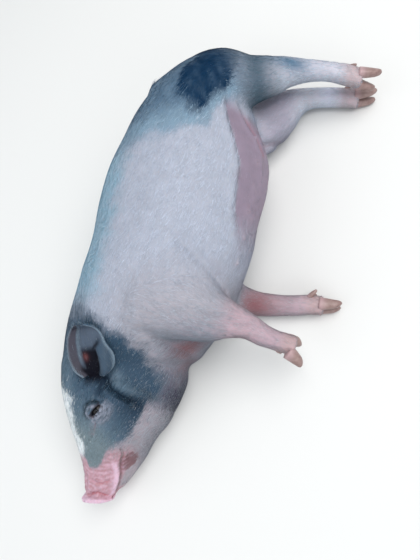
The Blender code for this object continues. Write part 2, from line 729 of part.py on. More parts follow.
def make_foot(name, made, pig, workshop):
    """Two claws that start at the pastern's end and two dewclaws behind them."""
    end, toes, across, length, spread, sole, width = FEET[name]
    end = Vector(end)
    toes = Vector(toes).normalized()
    across = (Vector(across) - toes * toes.dot(Vector(across))).normalized()
    front = toes.cross(across).normalized()
    if front.dot(Vector(sole)) > 0:
        front = -front
    for side, word in ((1, "outer"), (-1, "inner")):
        start = end + toes * GAP + across * side * (width + CLAW_GAP)
        aim = (toes + across * side * spread).normalized()
        bend = -front
        stations = []
        for share, size, drop in CLAW_PROFILE:
            at = start + aim * (share * length * 0.9) + bend * drop
            stations.append((*at, CLAW_HEIGHT * size, width * (0.35 + 0.65 * size), 0))
        claw = loft("{}_claw_{}".format(name, word), stations, pig, base=tuple(front),
                    upright=tuple(aim), domes=(0.0, CLAW_DOME), sides=10, per_station=1,
                    dome_angles=(45,))
        trim = slab("claw_trim", end - toes * FOOT_TRIM / 2, toes, (0, 0, 1), FOOT_REACH, workshop,
                    FOOT_TRIM + 2 * GAP)
        cut(claw, trim)
        discard([trim])
        made[claw.name] = claw
    behind = Vector(sole).normalized()
    flesh = made[name + "_foot"]
    for side, word in ((1, "outer"), (-1, "inner")):
        start = (end - toes * DEWCLAW_BACK + across * side * DEWCLAW_ASIDE
                 + behind * DEWCLAW_BEHIND)
        aim = (behind * 0.85 + toes * 0.75 + across * side * 0.15).normalized()
        stations = [(*(start + aim * (k * DEWCLAW_STEP)), r, r, 0)
                    for k, r in enumerate(DEWCLAW_RADII)]
        dewclaw = loft("{}_dewclaw_{}".format(name, word), stations, pig, base=tuple(across),
                       domes=(0.1, 0.6), sides=7, per_station=1, dome_angles=(45,))
        grown = grown_copy(flesh, GAP, workshop)
        cut(dewclaw, grown, "MANIFOLD")
        discard([grown])
        keep_biggest_island(dewclaw)
        made[dewclaw.name] = dewclaw


def make_tail(made, pig, workshop):
    tail = loft("tail", TAIL, pig, base=(0, 0, 1), domes=(0.4, 1.0), sides=10, per_station=2)
    grown = grown_copy(made["rump"], GAP, workshop)
    cut(tail, grown, "MANIFOLD")
    discard([grown])
    cut_at_floor(tail, workshop)
    made["tail"] = tail


def colour_of(name):
    """The finish that a piece has for the most part."""
    if "claw" in name:
        return "horn", HORN, 0.5
    if name.startswith("eye"):
        return "eye", EYE_DARK, 0.08
    if name in ("snout", "lower_jaw"):
        return "bare_skin", SKIN_PINK, 0.5
    if name in ("head", "neck") or name.startswith("ear"):
        return "grey_coat", COAT_GREY, 0.75
    return "white_coat", COAT_WHITE, 0.75


def main():
    clear_scene()
    pig, workshop = make_collections()
    flesh = make_flesh(workshop)
    made = part_flesh(flesh, pig, workshop)
    make_face(made, pig, workshop)
    for name in EARS:
        make_ear(name, made, pig, workshop)
    for name in FEET:
        make_foot(name, made, pig, workshop)
    make_tail(made, pig, workshop)
    shift = Matrix.Diagonal((MM, MM, MM, 1.0)) @ Matrix.Translation(-OUTLINE_CENTRE)
    for name, piece in made.items():
        piece.data.transform(shift)
        kind, colour, roughness = colour_of(name)
        piece.data.materials.clear()
        piece.data.materials.append(material(name + "_" + kind, colour, roughness))


main()
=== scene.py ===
"""Looks of a life-size miniature pig lying on its right side: skin, ears, eyes, claws and bristles."""

import math

import bmesh
import bpy
import numpy as np
from mathutils import Matrix, Vector


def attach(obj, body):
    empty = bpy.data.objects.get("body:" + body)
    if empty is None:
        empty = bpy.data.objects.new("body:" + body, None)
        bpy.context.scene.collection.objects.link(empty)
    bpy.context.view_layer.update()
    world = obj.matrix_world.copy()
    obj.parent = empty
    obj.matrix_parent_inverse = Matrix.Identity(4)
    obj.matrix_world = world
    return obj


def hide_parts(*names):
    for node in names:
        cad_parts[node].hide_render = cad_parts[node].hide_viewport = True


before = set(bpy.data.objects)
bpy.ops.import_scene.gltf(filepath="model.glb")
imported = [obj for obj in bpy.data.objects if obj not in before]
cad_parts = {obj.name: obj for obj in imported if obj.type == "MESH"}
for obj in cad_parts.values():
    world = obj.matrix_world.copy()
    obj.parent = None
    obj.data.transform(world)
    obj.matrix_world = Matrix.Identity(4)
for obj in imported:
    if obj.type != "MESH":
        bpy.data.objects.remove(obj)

bl_info = {
    "name": "Miniature pig, looks",
    "version": (1, 0, 0),
    "blender": (4, 5, 0),
    "location": "View3D > Sidebar > Pig",
    "description": "Skin, coat, eyes and claws over the solids of a miniature pig",
    "category": "Object",
}

# Everything is worked out in millimetres from the point on the floor below the camera, and
# OUTLINE_CENTRE, the middle of the model's outline seen from above, takes it to the model's frame
MM = 0.001
OUTLINE_CENTRE = np.array([-134.28, 131.39, 0.0])
SEED = 20

# Stations: middle x, y, z, half size from back to belly, half size across, roll in degrees; the
# domes close each end, as a share of its mean half size
SPINE = [
    (-136, 410, 88, 42, 62, 4),
    (-149, 390, 91, 66, 82, 3),
    (-157, 360, 93, 82, 92, 2),
    (-164, 322, 94, 100, 97, 0),
    (-169.5, 275, 94, 117.5, 99, 0),
    (-178, 228, 94, 122, 98, 0),
    (-190, 176, 93, 119, 96, 0),
    (-205, 126, 92, 118, 95, 2),
    (-222, 84, 86, 116, 87, 6),
    (-240, 46, 76, 110, 75, 12),
    (-258, 12, 67, 100, 64, 21),
    (-270, -4, 63, 92, 61.5, 29),
    (-274, -32, 60, 88, 60, 32),
    (-277, -60, 57, 80, 56, 34),
    (-283, -88, 52, 68, 48, 35),
    (-289, -112, 47, 56, 40, 35),
    (-294, -134, 42, 47, 33, 35),
    (-301, -154, 39, 38, 28, 35),
    (-308, -170, 38, 31, 25, 35),
    (-314, -180, 38, 24, 23.5, 35),
    (-317, -184, 38, 24, 26, 35),
    (-319, -189, 38, 24.5, 26.5, 35),
]
SPINE_DOMES = (0.75, 0.12)
JOWL = [
    (-222, 0, 44, 30, 36, 0),
    (-222, -22, 42, 33.5, 42, 0),
    (-230, -46, 38, 32, 39, 0),
    (-240, -70, 32, 26, 30, 0),
]
JOWL_DOMES = (0.8, 0.8)
# Leg stations run from the root, deep in the trunk, to the end of the pastern
LEGS = {
    "foreleg_left": [
        (-205, 92, 128, 62, 48, 0), (-165, 76, 134, 52, 42, 0), (-132, 62, 130, 38, 33, 0),
        (-108, 56, 120, 26, 26, 0), (-86, 49, 109, 19, 20, 0), (-68, 38.5, 98, 15.5, 16.5, 0),
        (-54, 32, 88, 14, 15, 0), (-45, 28, 82, 15.5, 15, 0), (-33, 22.5, 75, 17.5, 15, 0),
    ],
    "foreleg_right": [
        (-200, 96, 52, 54, 46, 0), (-150, 98, 42, 42, 38, 0), (-112, 94, 30, 27, 28, 0),
        (-84, 90, 22, 20, 21, 0), (-56, 87, 18, 18, 18, 0), (-28, 86, 17, 16, 16, 0),
        (-6, 86, 16, 15.5, 15.5, 0), (10, 84, 15, 16, 14.5, 0),
    ],
    "hindleg_left": [
        (-172, 350, 113, 64, 62, 0), (-138, 373, 122, 62, 52, 0), (-104, 390, 121, 52, 42, 0),
        (-70, 396.5, 114, 34.5, 31.5, 0), (-44, 403.5, 106, 28, 26, 0), (-24, 411, 99, 22.5, 21, 0),
        (2, 415.5, 89, 17, 16.5, 0), (34, 417, 77, 14.5, 14, 0), (62, 415, 66, 16, 14.5, 0),
        (80, 411, 59, 16, 14, 0),
    ],
    "hindleg_right": [
        (-168, 350, 62, 78, 60, 0), (-118, 352, 50, 60, 48, 0), (-76, 364, 38.5, 48, 36.5, 0),
        (-44, 386, 33, 37, 32, 0), (-20, 404, 28, 25.5, 26.5, 0), (2, 414, 22.5, 18.5, 20, 0),
        (30, 415, 18, 15, 16.5, 0), (62, 411, 16, 15.5, 15.5, 0), (80, 408, 15, 16, 14.5, 0),
    ],
}
LEG_DOMES = (0.4, 0.1)
LEG_BLEND = {"foreleg_left": 15.0, "foreleg_right": 16.0, "hindleg_left": 9.0, "hindleg_right": 12.0}
JOWL_BLEND = 14.0
TAIL = [
    (-140, 428, 106, 8, 8, 0), (-160, 446, 94, 7.5, 7.5, 0), (-172, 448, 76, 6.5, 6.5, 0),
    (-182, 444, 54, 5.5, 5.5, 0), (-190, 436, 32, 4.8, 4.8, 0), (-200, 427, 13, 4.3, 4.3, 0),
    (-213, 419, 6.0, 3.6, 3.6, 0), (-228, 413, 4.4, 2.8, 2.8, 0),
]

# Places on the head: y, then steps toward the forehead and toward the left cheek
EYE_PLACE = (-57.0, 37.6, 40.2)
EYE_RADIUS = 10.2
EYE_LOOK = (0.50, 0.22, 0.84)
# Along the slit: steps toward the neck and away from the forehead
EYE_RUN = (0.8, 0.62)
# Nostrils: steps from the disc's middle to the side and to the forehead, half height, half width, depth
NOSTRIL = (10.0, 1.0, 6.4, 4.6, 10.0)
DISC_Y = -189.0

# Feet: end of the pastern, direction of the toes, direction across the two claws, claw length,
# spread of the tips, direction of the dewclaws' side, half width of a claw
FEET = {
    "foreleg_left": ((-35, 23.2, 76), (0.78, -0.30, -0.50), (-0.10, 0.85, -0.50), 22, 0.35,
                     (-0.35, -0.15, -0.90), 8.6),
    "foreleg_right": ((8, 84, 15.7), (0.98, -0.20, -0.02), (0.10, 0.25, 0.96), 27, 0.03,
                      (0.10, 0.97, 0.1), 7.2),
    "hindleg_left": ((78, 411.5, 60), (0.94, -0.24, -0.24), (0.15, 0.45, 0.87), 28, 0.14,
                     (0.1, 0.85, -0.4), 7.2),
    "hindleg_right": ((78, 408.5, 15.7), (0.99, -0.12, -0.02), (0.05, 0.25, 0.96), 28, 0.03,
                      (0.10, 0.97, 0.1), 7.2),
}
# Claws: half height, half gap between the two, least height over the floor, and the power that
# makes their section rounder (1) or squarer (0)
CLAW_HEIGHT = 9.8
CLAW_GAP = 0.6
CLAW_CLEAR = 0.1
CLAW_SQUARENESS = 0.8
# Along a claw: share of its length, size of its section, drop of its middle line
CLAW_PROFILE = ((0.0, 1.0, 0.0), (0.12, 1.02, 0.0), (0.35, 0.92, 0.6), (0.7, 0.70, 2.2), (1.0, 0.36, 5.2))

# Ears: root, direction to the tip, direction that the cup opens to
EAR_LENGTH = 72.0
EARS = {
    "ear_left": ((-288, -9, 124), (-0.07, 0.78, 0.62), (0.05, -0.61, 0.77)),
    "ear_right": ((-322, 2, 24), (-0.62, 0.78, -0.02), (-0.10, -0.16, 0.98)),
}
# Along each ear: share of its length, front margin and hind margin across it, height of the
# middle line and of the rims
EAR_PROFILE = np.array([
    (0.00, -11, 15, -4.6, 11.0), (0.05, -14.5, 23, -6.5, 11.8), (0.10, -18.5, 31, -8.1, 12.2),
    (0.20, -24.0, 37.5, -12.5, 9.0), (0.35, -27.5, 39, -17.5, 4.5), (0.50, -27.8, 34.5, -20.5, -1.5),
    (0.62, -27.0, 28.5, -22.2, -5.8), (0.74, -23.8, 25.0, -21.5, -9.2), (0.86, -17.5, 19.5, -18.0, -10.0),
    (0.94, -11.5, 12.5, -12.5, -8.0), (1.00, -3.0, 3.5, -4.9, -3.6),
], float)
# Rows along an ear, columns across it, and how far its leaf lies clear of the head
EAR_SHARES = np.linspace(0, 1, 49)
EAR_TS = np.linspace(-1, 1, 65)
EAR_LIFT = 2.6

# Planes of the grid that the skin is found on, along x, y and z: first place, then each stretch's
# end and step, closer together over the head and the legs
GRID = ((-385.0, (-60.0, 4.1), (112.0, 3.2)), (-203.0, (6.0, 3.0), (462.0, 4.2)), (-4.0, (206.0, 3.3)))
# Depth that the skin lies under the solids' surface, and its least height over the floor
COAT_DEPTH = 1.5
FLOOR_CLEAR = 0.4
# Eyelids: radius of the lids' bulge and of the socket, half length of the slit, and how far it
# opens to the upper and the lower lid
LID_REACH = 12.3
LID_SOCKET = 10.5
SLIT_HALF = 10.6
SLIT_OPEN = (2.7, 2.2)
# Bulge of the upper lid and crease above it: distance from the eye's middle, depth and half width
LID_FOLDS = ((10.4, -2.6, 3.4), (15.6, 4.4, 2.0))
# Folds below an eye, in the same way
EYE_FOLDS = ((8.4, 0.35, 1.0), (11.4, 0.8, 1.1), (15.0, 0.9, 1.2), (20.5, 1.3, 2.4))

# Lines on the body: points as (y, angle around the body), half width and height of a ridge;
# a crease has a height under zero
FOLDS = {
    "fold_below_ear": ([(-6, 66), (-20, 69), (-29, 71), (-34, 75), (-41, 82), (-47, 90), (-53, 99)],
                       3.9, -7.5),
    "roll_below_ear": ([(-14, 79), (-24, 79), (-29, 83), (-34, 90), (-38, 99), (-44, 109)], 7.5, 5.2),
    "fold_before_ear": ([(-12, 44), (-14, 54), (-17, 62), (-27, 65), (-36, 63)], 3.6, -2.4),
    "ridge_before_ear": ([(-20, 42), (-26, 46), (-30, 52)], 4.0, 1.6),
    "groove_behind_disc": ([(-184, 0), (-183, 25), (-178, 40), (-176, 62), (-179, 88), (-184, 108),
                            (-185, 140)], 2.4, -2.8),
    "disc_rim": ([(-189, 20), (-187, 40), (-184.5, 62), (-186, 88), (-189, 112)], 3.4, 1.9),
    "snout_fold": ([(-159, 44), (-161.5, 56), (-162, 69), (-159, 84)], 1.7, -2.0),
    "snout_crease": ([(-146, 60), (-150, 63), (-156, 67)], 1.5, -1.5),
    "bridge_fold": ([(-150, 22), (-156, 15), (-171, 22)], 2.0, -1.6),
    "bridge_crease": ([(-166, 38), (-170, 50), (-169, 64)], 1.6, -1.1),
    "bump_a": ([(-152, 46), (-155, 53)], 4.0, 1.5),
    "bump_b": ([(-152, 75), (-157, 77)], 4.4, 1.6),
    "bump_c": ([(-155, 30), (-158, 36)], 3.6, 1.3),
    "bump_d": ([(-168, 72), (-171, 60)], 4.2, 1.1),
    # roll of the upper lip; its paint is pale and lightened in part as a painted highlight
    "lip_roll_pale_and_highlight": ([(-118, 80), (-124, 78), (-137, 85), (-148, 93), (-163, 102), (-180, 119)], 4.4, 2.4),
    "lip_fold": ([(-112, 96), (-118, 104), (-132, 112), (-146, 117)], 6.0, -1.3),
    "cheek_ridge": ([(-90, 92), (-100, 96), (-108, 100)], 7.0, 1.6),
    "tear_groove": ([(-65, 54.5), (-71, 55.5), (-78, 55), (-88, 50), (-98, 47)], 1.5, -2.6),
    "tear_ridge": ([(-74, 50), (-84, 46), (-95, 43)], 3.0, 1.0),
    "throat_fold": ([(46, 92), (38, 102), (26, 117), (19, 137), (8, 160)], 6.5, -5.0),
    "throat_ridge": ([(30, 90), (20, 104), (10, 118), (2, 132)], 8.0, 2.2),
    "neck_fold": ([(60, 120), (52, 132), (44, 146)], 8.0, -3.4),
    "elbow_fold": ([(160, 106), (148, 114), (134, 124), (118, 137), (98, 152)], 10.0, -6.5),
    "shoulder_ridge": ([(135, 104), (112, 112), (92, 116)], 16.0, 3.4),
    "shoulder_hollow": ([(128, 92), (110, 84), (86, 78), (64, 76)], 14.0, -2.2),
    "flank_ridge": ([(346, 139), (330, 149), (300, 155), (272, 163), (240, 166)], 4.0, 2.6),
    "groin_fold": ([(350, 146), (332, 156), (304, 162), (278, 168)], 3.0, -2.6),
}
# The fold of the flank, behind which the bare belly lies deeper: angle at each y
FLANK_FOLD = np.array([(150, 150), (190, 142), (220, 138.5), (246, 138), (264, 135), (290, 131.5),
                       (312, 131), (333, 130), (360, 134)], float)
FLANK_DROP = 5.0
# Mouth, from its corner to the front: (y, angle)
MOUTH = [(-112, 89), (-116, 93), (-122, 95), (-130, 94), (-137, 95), (-147, 102), (-160, 110), (-175, 123),
         (-186, 140)]
TEAR_STAIN = [(-66, 54.5), (-78, 55), (-92, 49)]
TEATS = [(y, angle) for y in (128, 160, 194, 228, 262, 296, 326) for angle in (158.0, -158.0)]
# Half width and height of a teat
TEAT_SIZE = (2.5, 4.2)

# y on the head, and half width of the blaze as an angle
BLAZE_WIDTH = np.array([(-130, 18), (-118, 30), (-106, 29), (-94, 26), (-85, 20), (-67, 23), (-43, 27),
                        (-30, 10)], float)
# Angle around the body in degrees, and y where the dark head ends (fading into the light belt)
HEAD_EDGE = np.array([(0, 74), (48, 76), (56, 70), (61, 56), (71, 49), (79, 41), (88, 30), (96, 20),
                      (105, 6), (114, -9), (130, -20), (142, -22), (180, -34)], float)
# Angle around the head, and y where the dark face ends at the pink muzzle and light jaw
MUZZLE_EDGE = np.array([(0, -120), (17, -118), (29, -129), (34, -142), (47, -143), (61, -136), (66, -122),
                        (77, -113), (89, -110), (98, -92), (102, -72), (107, -50), (114, -54), (127, -61),
                        (150, -70), (180, -78)], float)
# Angle around the body, and y where the light belt ends at the dark rump
RUMP_EDGE = np.array([(0, 276), (40, 280), (70, 286), (89, 288), (110, 291), (117, 298), (120, 313),
                      (125, 327), (131, 336), (150, 356), (180, 370)], float)
# Angle around the rump, and y where its darkest part begins
CORE_EDGE = np.array([(80, 420), (84, 378), (88, 352), (92, 340), (98, 334), (102, 322), (108, 311),
                      (113, 314), (117, 326), (120, 342), (128, 345), (133, 356), (137, 385), (140, 440)],
                     float)
# Colours of the skin and of the hair on it, by marking; some of them are painted shade or painted light, as
# noted at each
TINTS = {
    "belt": ((0.34, 0.362, 0.432), (0.548, 0.598, 0.715)),
    "shoulder": ((0.325, 0.3, 0.335), (0.46, 0.47, 0.53)),
    # chest: darker toward the chest's belly side, a painted shade
    "chest": ((0.225, 0.205, 0.25), (0.31, 0.355, 0.425)),
    # bluish hair along the back, darkened as painted shade of the back's shadowed side
    "back_band_and_shade": ((0.22, 0.34, 0.43), (0.37, 0.60, 0.74)),
    "grey": ((0.033, 0.064, 0.106), (0.053, 0.105, 0.163)),
    # near-black: painted shade in the creases below and before the ear, and a darker patch on the cheek
    "dark": ((0.010, 0.022, 0.042), (0.017, 0.037, 0.064)),
    # also laid along the roll below the ear as a painted highlight
    "face": ((0.092, 0.145, 0.2), (0.15, 0.24, 0.31)),
    "fore_face": ((0.15, 0.197, 0.22), (0.222, 0.298, 0.335)),
    "throat": ((0.052, 0.041, 0.072), (0.085, 0.083, 0.125)),
    "jaw": ((0.34, 0.295, 0.33), (0.47, 0.49, 0.56)),
    "pink": ((0.41, 0.215, 0.25), (0.46, 0.34, 0.36)),
    # dark red: reddish skin at the mouth's corner, with painted shade there, in the nostrils and along the
    # mouth's line
    "lip": ((0.17, 0.075, 0.085), (0.27, 0.15, 0.165)),
    "disc": ((0.47, 0.27, 0.30), (0.47, 0.27, 0.30)),
    # pale lilac-pink of the lip roll, the disc and the snout's mottling, lightened in part as a painted
    # highlight
    "rim": ((0.68, 0.48, 0.6), (0.56, 0.48, 0.5)),
    "blaze": ((0.74, 0.78, 0.80), (0.90, 0.95, 0.96)),
    "rump": ((0.075, 0.132, 0.2), (0.115, 0.205, 0.315)),
    "streak": ((0.20, 0.30, 0.39), (0.46, 0.63, 0.77)),
    "core": ((0.003, 0.024, 0.062), (0.004, 0.037, 0.098)),
    "thigh": ((0.066, 0.1, 0.14), (0.098, 0.168, 0.225)),
    "leg": ((0.5, 0.49, 0.56), (0.68, 0.76, 0.87)),
    "foreleg": ((0.43, 0.315, 0.362), (0.54, 0.48, 0.535)),
    "foot": ((0.46, 0.32, 0.32), (0.54, 0.46, 0.46)),
    "hock": ((0.026, 0.105, 0.19), (0.045, 0.18, 0.31)),
    "bare": ((0.24, 0.19, 0.25), (0.36, 0.34, 0.41)),
    # reddish skin, darkened as painted shade in the hollows at the forelegs' roots
    "underarm_red_and_shade": ((0.20, 0.065, 0.075), (0.30, 0.15, 0.165)),
    "teat": ((0.33, 0.255, 0.305), (0.33, 0.255, 0.305)),
    # painted light: lighter than the leg, to offset the shadow that the near hind leg casts
    "far_shank_painted_light": ((0.64, 0.66, 0.80), (0.80, 0.87, 0.96)),
    "inner": ((0.3, 0.27, 0.345), (0.385, 0.385, 0.475)),
    # redder skin: for the veins, and in the folds darker as painted shade
    "crease": ((0.36, 0.10, 0.115), (0.36, 0.10, 0.115)),
    # lighter skin on the upper lid's crest, partly a painted highlight
    "upper_lid": ((0.26, 0.275, 0.35), (0.26, 0.275, 0.35)),
    "under_eye": ((0.27, 0.29, 0.36), (0.27, 0.29, 0.36)),
    # painted shade in the crease above the upper lid
    "lid_crease_shade": ((0.020, 0.028, 0.044), (0.020, 0.028, 0.044)),
    "lid_edge": ((0.030, 0.026, 0.036), (0.030, 0.026, 0.036)),
    "ear_panel": ((0.06, 0.084, 0.124), (0.1, 0.13, 0.17)),
    # painted shade in the hollow of the ear
    "ear_hollow_shade": ((0.005, 0.0045, 0.008), (0.008, 0.008, 0.012)),
    "ear_red": ((0.115, 0.036, 0.038), (0.14, 0.08, 0.08)),
    "ear_band": ((0.052, 0.051, 0.07), (0.1, 0.1, 0.125)),
    "ear_lobe": ((0.04, 0.07, 0.108), (0.058, 0.094, 0.14)),
    "ear_margin": ((0.16, 0.22, 0.28), (0.24, 0.34, 0.42)),
}
# Rings of an eyeball: share of the way from the look to the back, and colour; the white is painted nearly
# black, as shade of the half-closed lids
EYE_RINGS = (
    (0.0, (0.004, 0.003, 0.003, 1)), (0.13, (0.004, 0.004, 0.005, 1)), (0.16, (0.022, 0.015, 0.012, 1)),
    (0.27, (0.012, 0.014, 0.020, 1)), (0.33, (0.026, 0.030, 0.042, 1)), (1.0, (0.05, 0.04, 0.05, 1)),
)

# Nodes that the skin replaces
FLESH = ("belly", "chest", "neck", "head", "snout", "lower_jaw", "rump", "tail", "ear_left", "ear_right",
         "foreleg_left_upper", "foreleg_left_foot", "foreleg_right_upper", "foreleg_right_foot",
         "hindleg_left_thigh", "hindleg_left_shank", "hindleg_left_foot",
         "hindleg_right_thigh", "hindleg_right_shank", "hindleg_right_foot")

# Length, width and tufts for each square millimetre, by kind of hair
HAIR_RULES = {
    "trunk": (13.0, 0.30, 0.27),
    "head": (8.0, 0.28, 0.38),
    "face": (5.6, 0.22, 0.60),
    "muzzle": (2.6, 0.20, 0.12),
    "ear": (5.0, 0.27, 0.30),
    "leg": (7.0, 0.31, 0.30),
    "foot": (4.5, 0.28, 0.36),
    "bare": (6.0, 0.24, 0.02),
}
HAIRS_IN_TUFT = 3
HAIRS_IN_OBJECT = 49000
# Corners of a bristle's faces: two points wide and one high at the root, and the tip
HAIR_FACES = ((0, 1, 3), (1, 2, 3), (2, 0, 3), (1, 0, 2))
# Places of a bristle's four points around its place on the colour chart
TUFT_PATCH = 0.0015 * np.array([[-1, -1], [1, -1], [0, 0], [0, 1]])
PALE_HAIR = (0.46, 0.55, 0.63)
# Pieces of the coat, by the number that each tuft gets
COAT_PIECES = ("ears", "forelegs", "hindlegs", "face", "crown", "neck", "shoulder", "flank", "loin", "rump")

# Lens and sensor of the photo's camera in millimetres, and how it is turned
CAMERA_LENS = 27.0
CAMERA_SENSOR = 36.0
CAMERA_TURN = ((0.96967682, 0.04847724, 0.2395346), (0, 0.98012933, -0.19835951),
               (-0.24439081, 0.19234462, 0.95040869))
SKY_COLOUR = (0.90, 0.95, 1.0, 1)
SKY_STRENGTH = 0.50
# Lights: place, side, power and colour
LIGHTS = (
    ("key", (0.65, 0.45, 1.9), 1.7, 38.0, (1.0, 0.99, 0.97)),
    ("fill", (-1.5, -0.7, 1.3), 1.8, 14.0, (0.93, 0.97, 1.0)),
    ("front", (0.9, -1.5, 0.9), 1.6, 9.0, (0.96, 0.98, 1.0)),
)


# Shape of the body as one field

def curve_rows(stations, per_station):
    """Station rows read from a Catmull-Rom curve through the named ones."""
    rows = np.array(stations, float)
    padded = np.vstack([2 * rows[0] - rows[1], rows, 2 * rows[-1] - rows[-2]])
    steps = np.arange(per_station * (len(rows) - 1) + 1) / per_station
    index = np.minimum(steps.astype(int), len(rows) - 2)
    t = (steps - index)[:, None]
    a, b, c, d = (padded[index + k] for k in range(4))
    return 0.5 * (2 * b + (c - a) * t + (2 * a - 5 * b + 4 * c - d) * t ** 2
                  + (3 * b - a - 3 * c + d) * t ** 3)


def unit(v):
    """Vectors divided by their length."""
    v = np.asarray(v, float)
    return v / np.linalg.norm(v, axis=-1, keepdims=True)


class Upright:
    """A chain of oval sections that all stand across the Y axis.

    At a point, the section at its y is read from the curve. The distance is the length of the ray
    from the section's middle through the point, less the part of that ray inside the oval. Beyond
    an end, the oval shrinks as half an ellipsoid."""

    def __init__(self, stations, domes, inset):
        rows = curve_rows(stations, 10)[::-1].copy()
        rows[:, 3:5] -= inset
        self.rows = rows
        self.low = domes[1] * 0.5 * (rows[0, 3] + rows[0, 4])
        self.high = domes[0] * 0.5 * (rows[-1, 3] + rows[-1, 4])

    def place(self, p):
        """Steps toward the back and the left flank at each point, with the section's half sizes."""
        y = np.clip(p[:, 1], self.rows[0, 1], self.rows[-1, 1])
        x0, z0, a, b, roll = (np.interp(y, self.rows[:, 1], self.rows[:, k]) for k in (0, 2, 3, 4, 5))
        roll = np.radians(roll)
        dx, dz = p[:, 0] - x0, p[:, 2] - z0
        back = -dx * np.cos(roll) + dz * np.sin(roll)
        flank = dx * np.sin(roll) + dz * np.cos(roll)
        return back, flank, a, b, p[:, 1] - y

    def distance(self, p):
        """Distance to the surface at each point, negative inside."""
        back, flank, a, b, past = self.place(p)
        end = past / np.where(past > 0, self.high, self.low)
        k = np.sqrt((back / a) ** 2 + (flank / b) ** 2 + end ** 2) + 1e-6
        r = np.sqrt(back ** 2 + flank ** 2 + past ** 2)
        return r - r / k

    def angle(self, p):
        """Angle around the body in degrees: 0 on the back, 90 on the left flank, 180 on the belly."""
        back, flank, a, b, _ = self.place(p)
        return np.degrees(np.arctan2(flank / b, back / a))


class Limb:
    """A chain of oval sections that stand across a bent path.

    The nearest sample of the path gives the section, and the distance is found as in Upright."""

    def __init__(self, stations, domes, inset, base=(0, 1, 0), per_station=16):
        rows = curve_rows(stations, per_station)
        rows[:, 3:5] -= inset
        tangent = unit(np.gradient(rows[:, :3], axis=0))
        depth = np.array(base, float) - tangent * (tangent @ np.array(base, float))[:, None]
        depth = unit(depth)
        width = np.cross(depth, tangent)
        width *= np.where(width[:, 2] < 0, -1.0, 1.0)[:, None]
        self.middle, self.tangent, self.depth, self.width = rows[:, :3], tangent, depth, width
        self.half = rows[:, 3:5]
        step = np.linalg.norm(np.gradient(self.middle, axis=0), axis=1)
        self.slope = np.gradient(self.half, axis=0) / step[:, None]
        self.along = np.concatenate([[0], np.cumsum(np.linalg.norm(np.diff(self.middle, axis=0), axis=1))])
        self.ends = (domes[0] * 0.5 * rows[0, 3:5].sum(), domes[1] * 0.5 * rows[-1, 3:5].sum())
        reach = rows[:, 3:5].max() + 30
        self.low = self.middle.min(0) - reach
        self.high = self.middle.max(0) + reach

    def nearest(self, p):
        """The nearest sample of the path to each point."""
        best = np.empty(len(p), int)
        for start in range(0, len(p), 20000):
            part = p[start:start + 20000]
            square = ((part[:, None, :] - self.middle[None]) ** 2).sum(2)
            best[start:start + 20000] = square.argmin(1)
        return best

    def place(self, p):
        """Nearest sample, steps in depth and width, half sizes and the way past an end."""
        i = self.nearest(p)
        away = p - self.middle[i]
        run = (away * self.tangent[i]).sum(1)
        last = len(self.middle) - 1
        past = np.where(((i == 0) & (run < 0)) | ((i == last) & (run > 0)), run, 0.0)
        inner = np.where(past == 0, np.clip(run, -4, 4), 0.0)
        half = self.half[i] + self.slope[i] * inner[:, None]
        return i, (away * self.depth[i]).sum(1), (away * self.width[i]).sum(1), half, past

    def distance(self, p):
        """Distance to the surface at each point, negative inside and 60 at most."""
        out = np.full(len(p), 60.0)
        near = ((p > self.low) & (p < self.high)).all(1)
        q = p[near]
        if not len(q):
            return out
        i, u, v, half, past = self.place(q)
        end = past / np.where(past < 0, self.ends[0], self.ends[1])
        k = np.sqrt((u / half[:, 0]) ** 2 + (v / half[:, 1]) ** 2 + end ** 2) + 1e-6
        r = np.sqrt(u ** 2 + v ** 2 + past ** 2)
        out[near] = np.minimum(r - r / k, 60.0)
        return out


def read_table(table, x):
    """The second column of a table at values of its first."""
    return np.interp(x, table[:, 0], table[:, 1])


def smooth_step(low, high, x):
    """0 below the low end, 1 past the high end and a soft slope between; the ends may be swapped."""
    t = np.clip((x - low) / (high - low), 0, 1)
    return t * t * (3 - 2 * t)


def bell(x, width, middle=0.0):
    """1 at the middle, and e to the minus square of the step from it over the width elsewhere."""
    return np.exp(-((x - middle) / width) ** 2)


def ripple(p, scale, seed):
    """Smooth noise from -1 to 1 as a sum of turned sine waves; scale is the wave length."""
    rng = np.random.default_rng(seed)
    out = np.zeros(len(p))
    for _ in range(7):
        way = unit(rng.normal(size=3))
        out += np.sin(p @ way * (2 * math.pi / (scale * rng.uniform(0.6, 1.6))) + rng.uniform(0, 6.28))
    return out / 3.2


def soft_min(a, b, reach):
    """The smaller of two distances, rounded where they are nearer to each other than the reach."""
    h = np.clip(1 - np.abs(a - b) / reach, 0, 1)
    return np.minimum(a, b) - h * h * reach * 0.25


def soft_max(a, b, reach):
    """The larger of two distances, rounded in the same way."""
    return -soft_min(-a, -b, reach)


def head_frame(y):
    """Middle of the head's section at y, and its directions to the forehead and the left cheek."""
    rows = np.array(SPINE, float)[::-1]
    x, z, roll = (np.interp(y, rows[:, 1], rows[:, k]) for k in (0, 2, 5))
    roll = math.radians(roll)
    return (np.array([x, y, z]), np.array([-math.cos(roll), 0, math.sin(roll)]),
            np.array([math.sin(roll), 0, math.cos(roll)]))


def head_point(y, forehead_step, cheek_step):
    """The middle of the head's section at y plus steps to the forehead and the left cheek."""
    middle, forehead, cheek = head_frame(y)
    return middle + forehead * forehead_step + cheek * cheek_step


def eye_frame(side):
    """Centre of an eyeball and its look, run (along the slit) and rise (to the upper lid)."""
    centre = head_point(EYE_PLACE[0], EYE_PLACE[1], side * EYE_PLACE[2])
    _, forehead, cheek = head_frame(EYE_PLACE[0])
    look = unit(forehead * EYE_LOOK[0] + np.array([0, -EYE_LOOK[1], 0]) + cheek * side * EYE_LOOK[2])
    run = np.array([0, EYE_RUN[0], 0]) - forehead * EYE_RUN[1]
    run = unit(run - look * look.dot(run))
    rise = np.cross(look, run)
    if rise.dot(forehead) < 0:
        rise = -rise
    return centre, look, run, rise


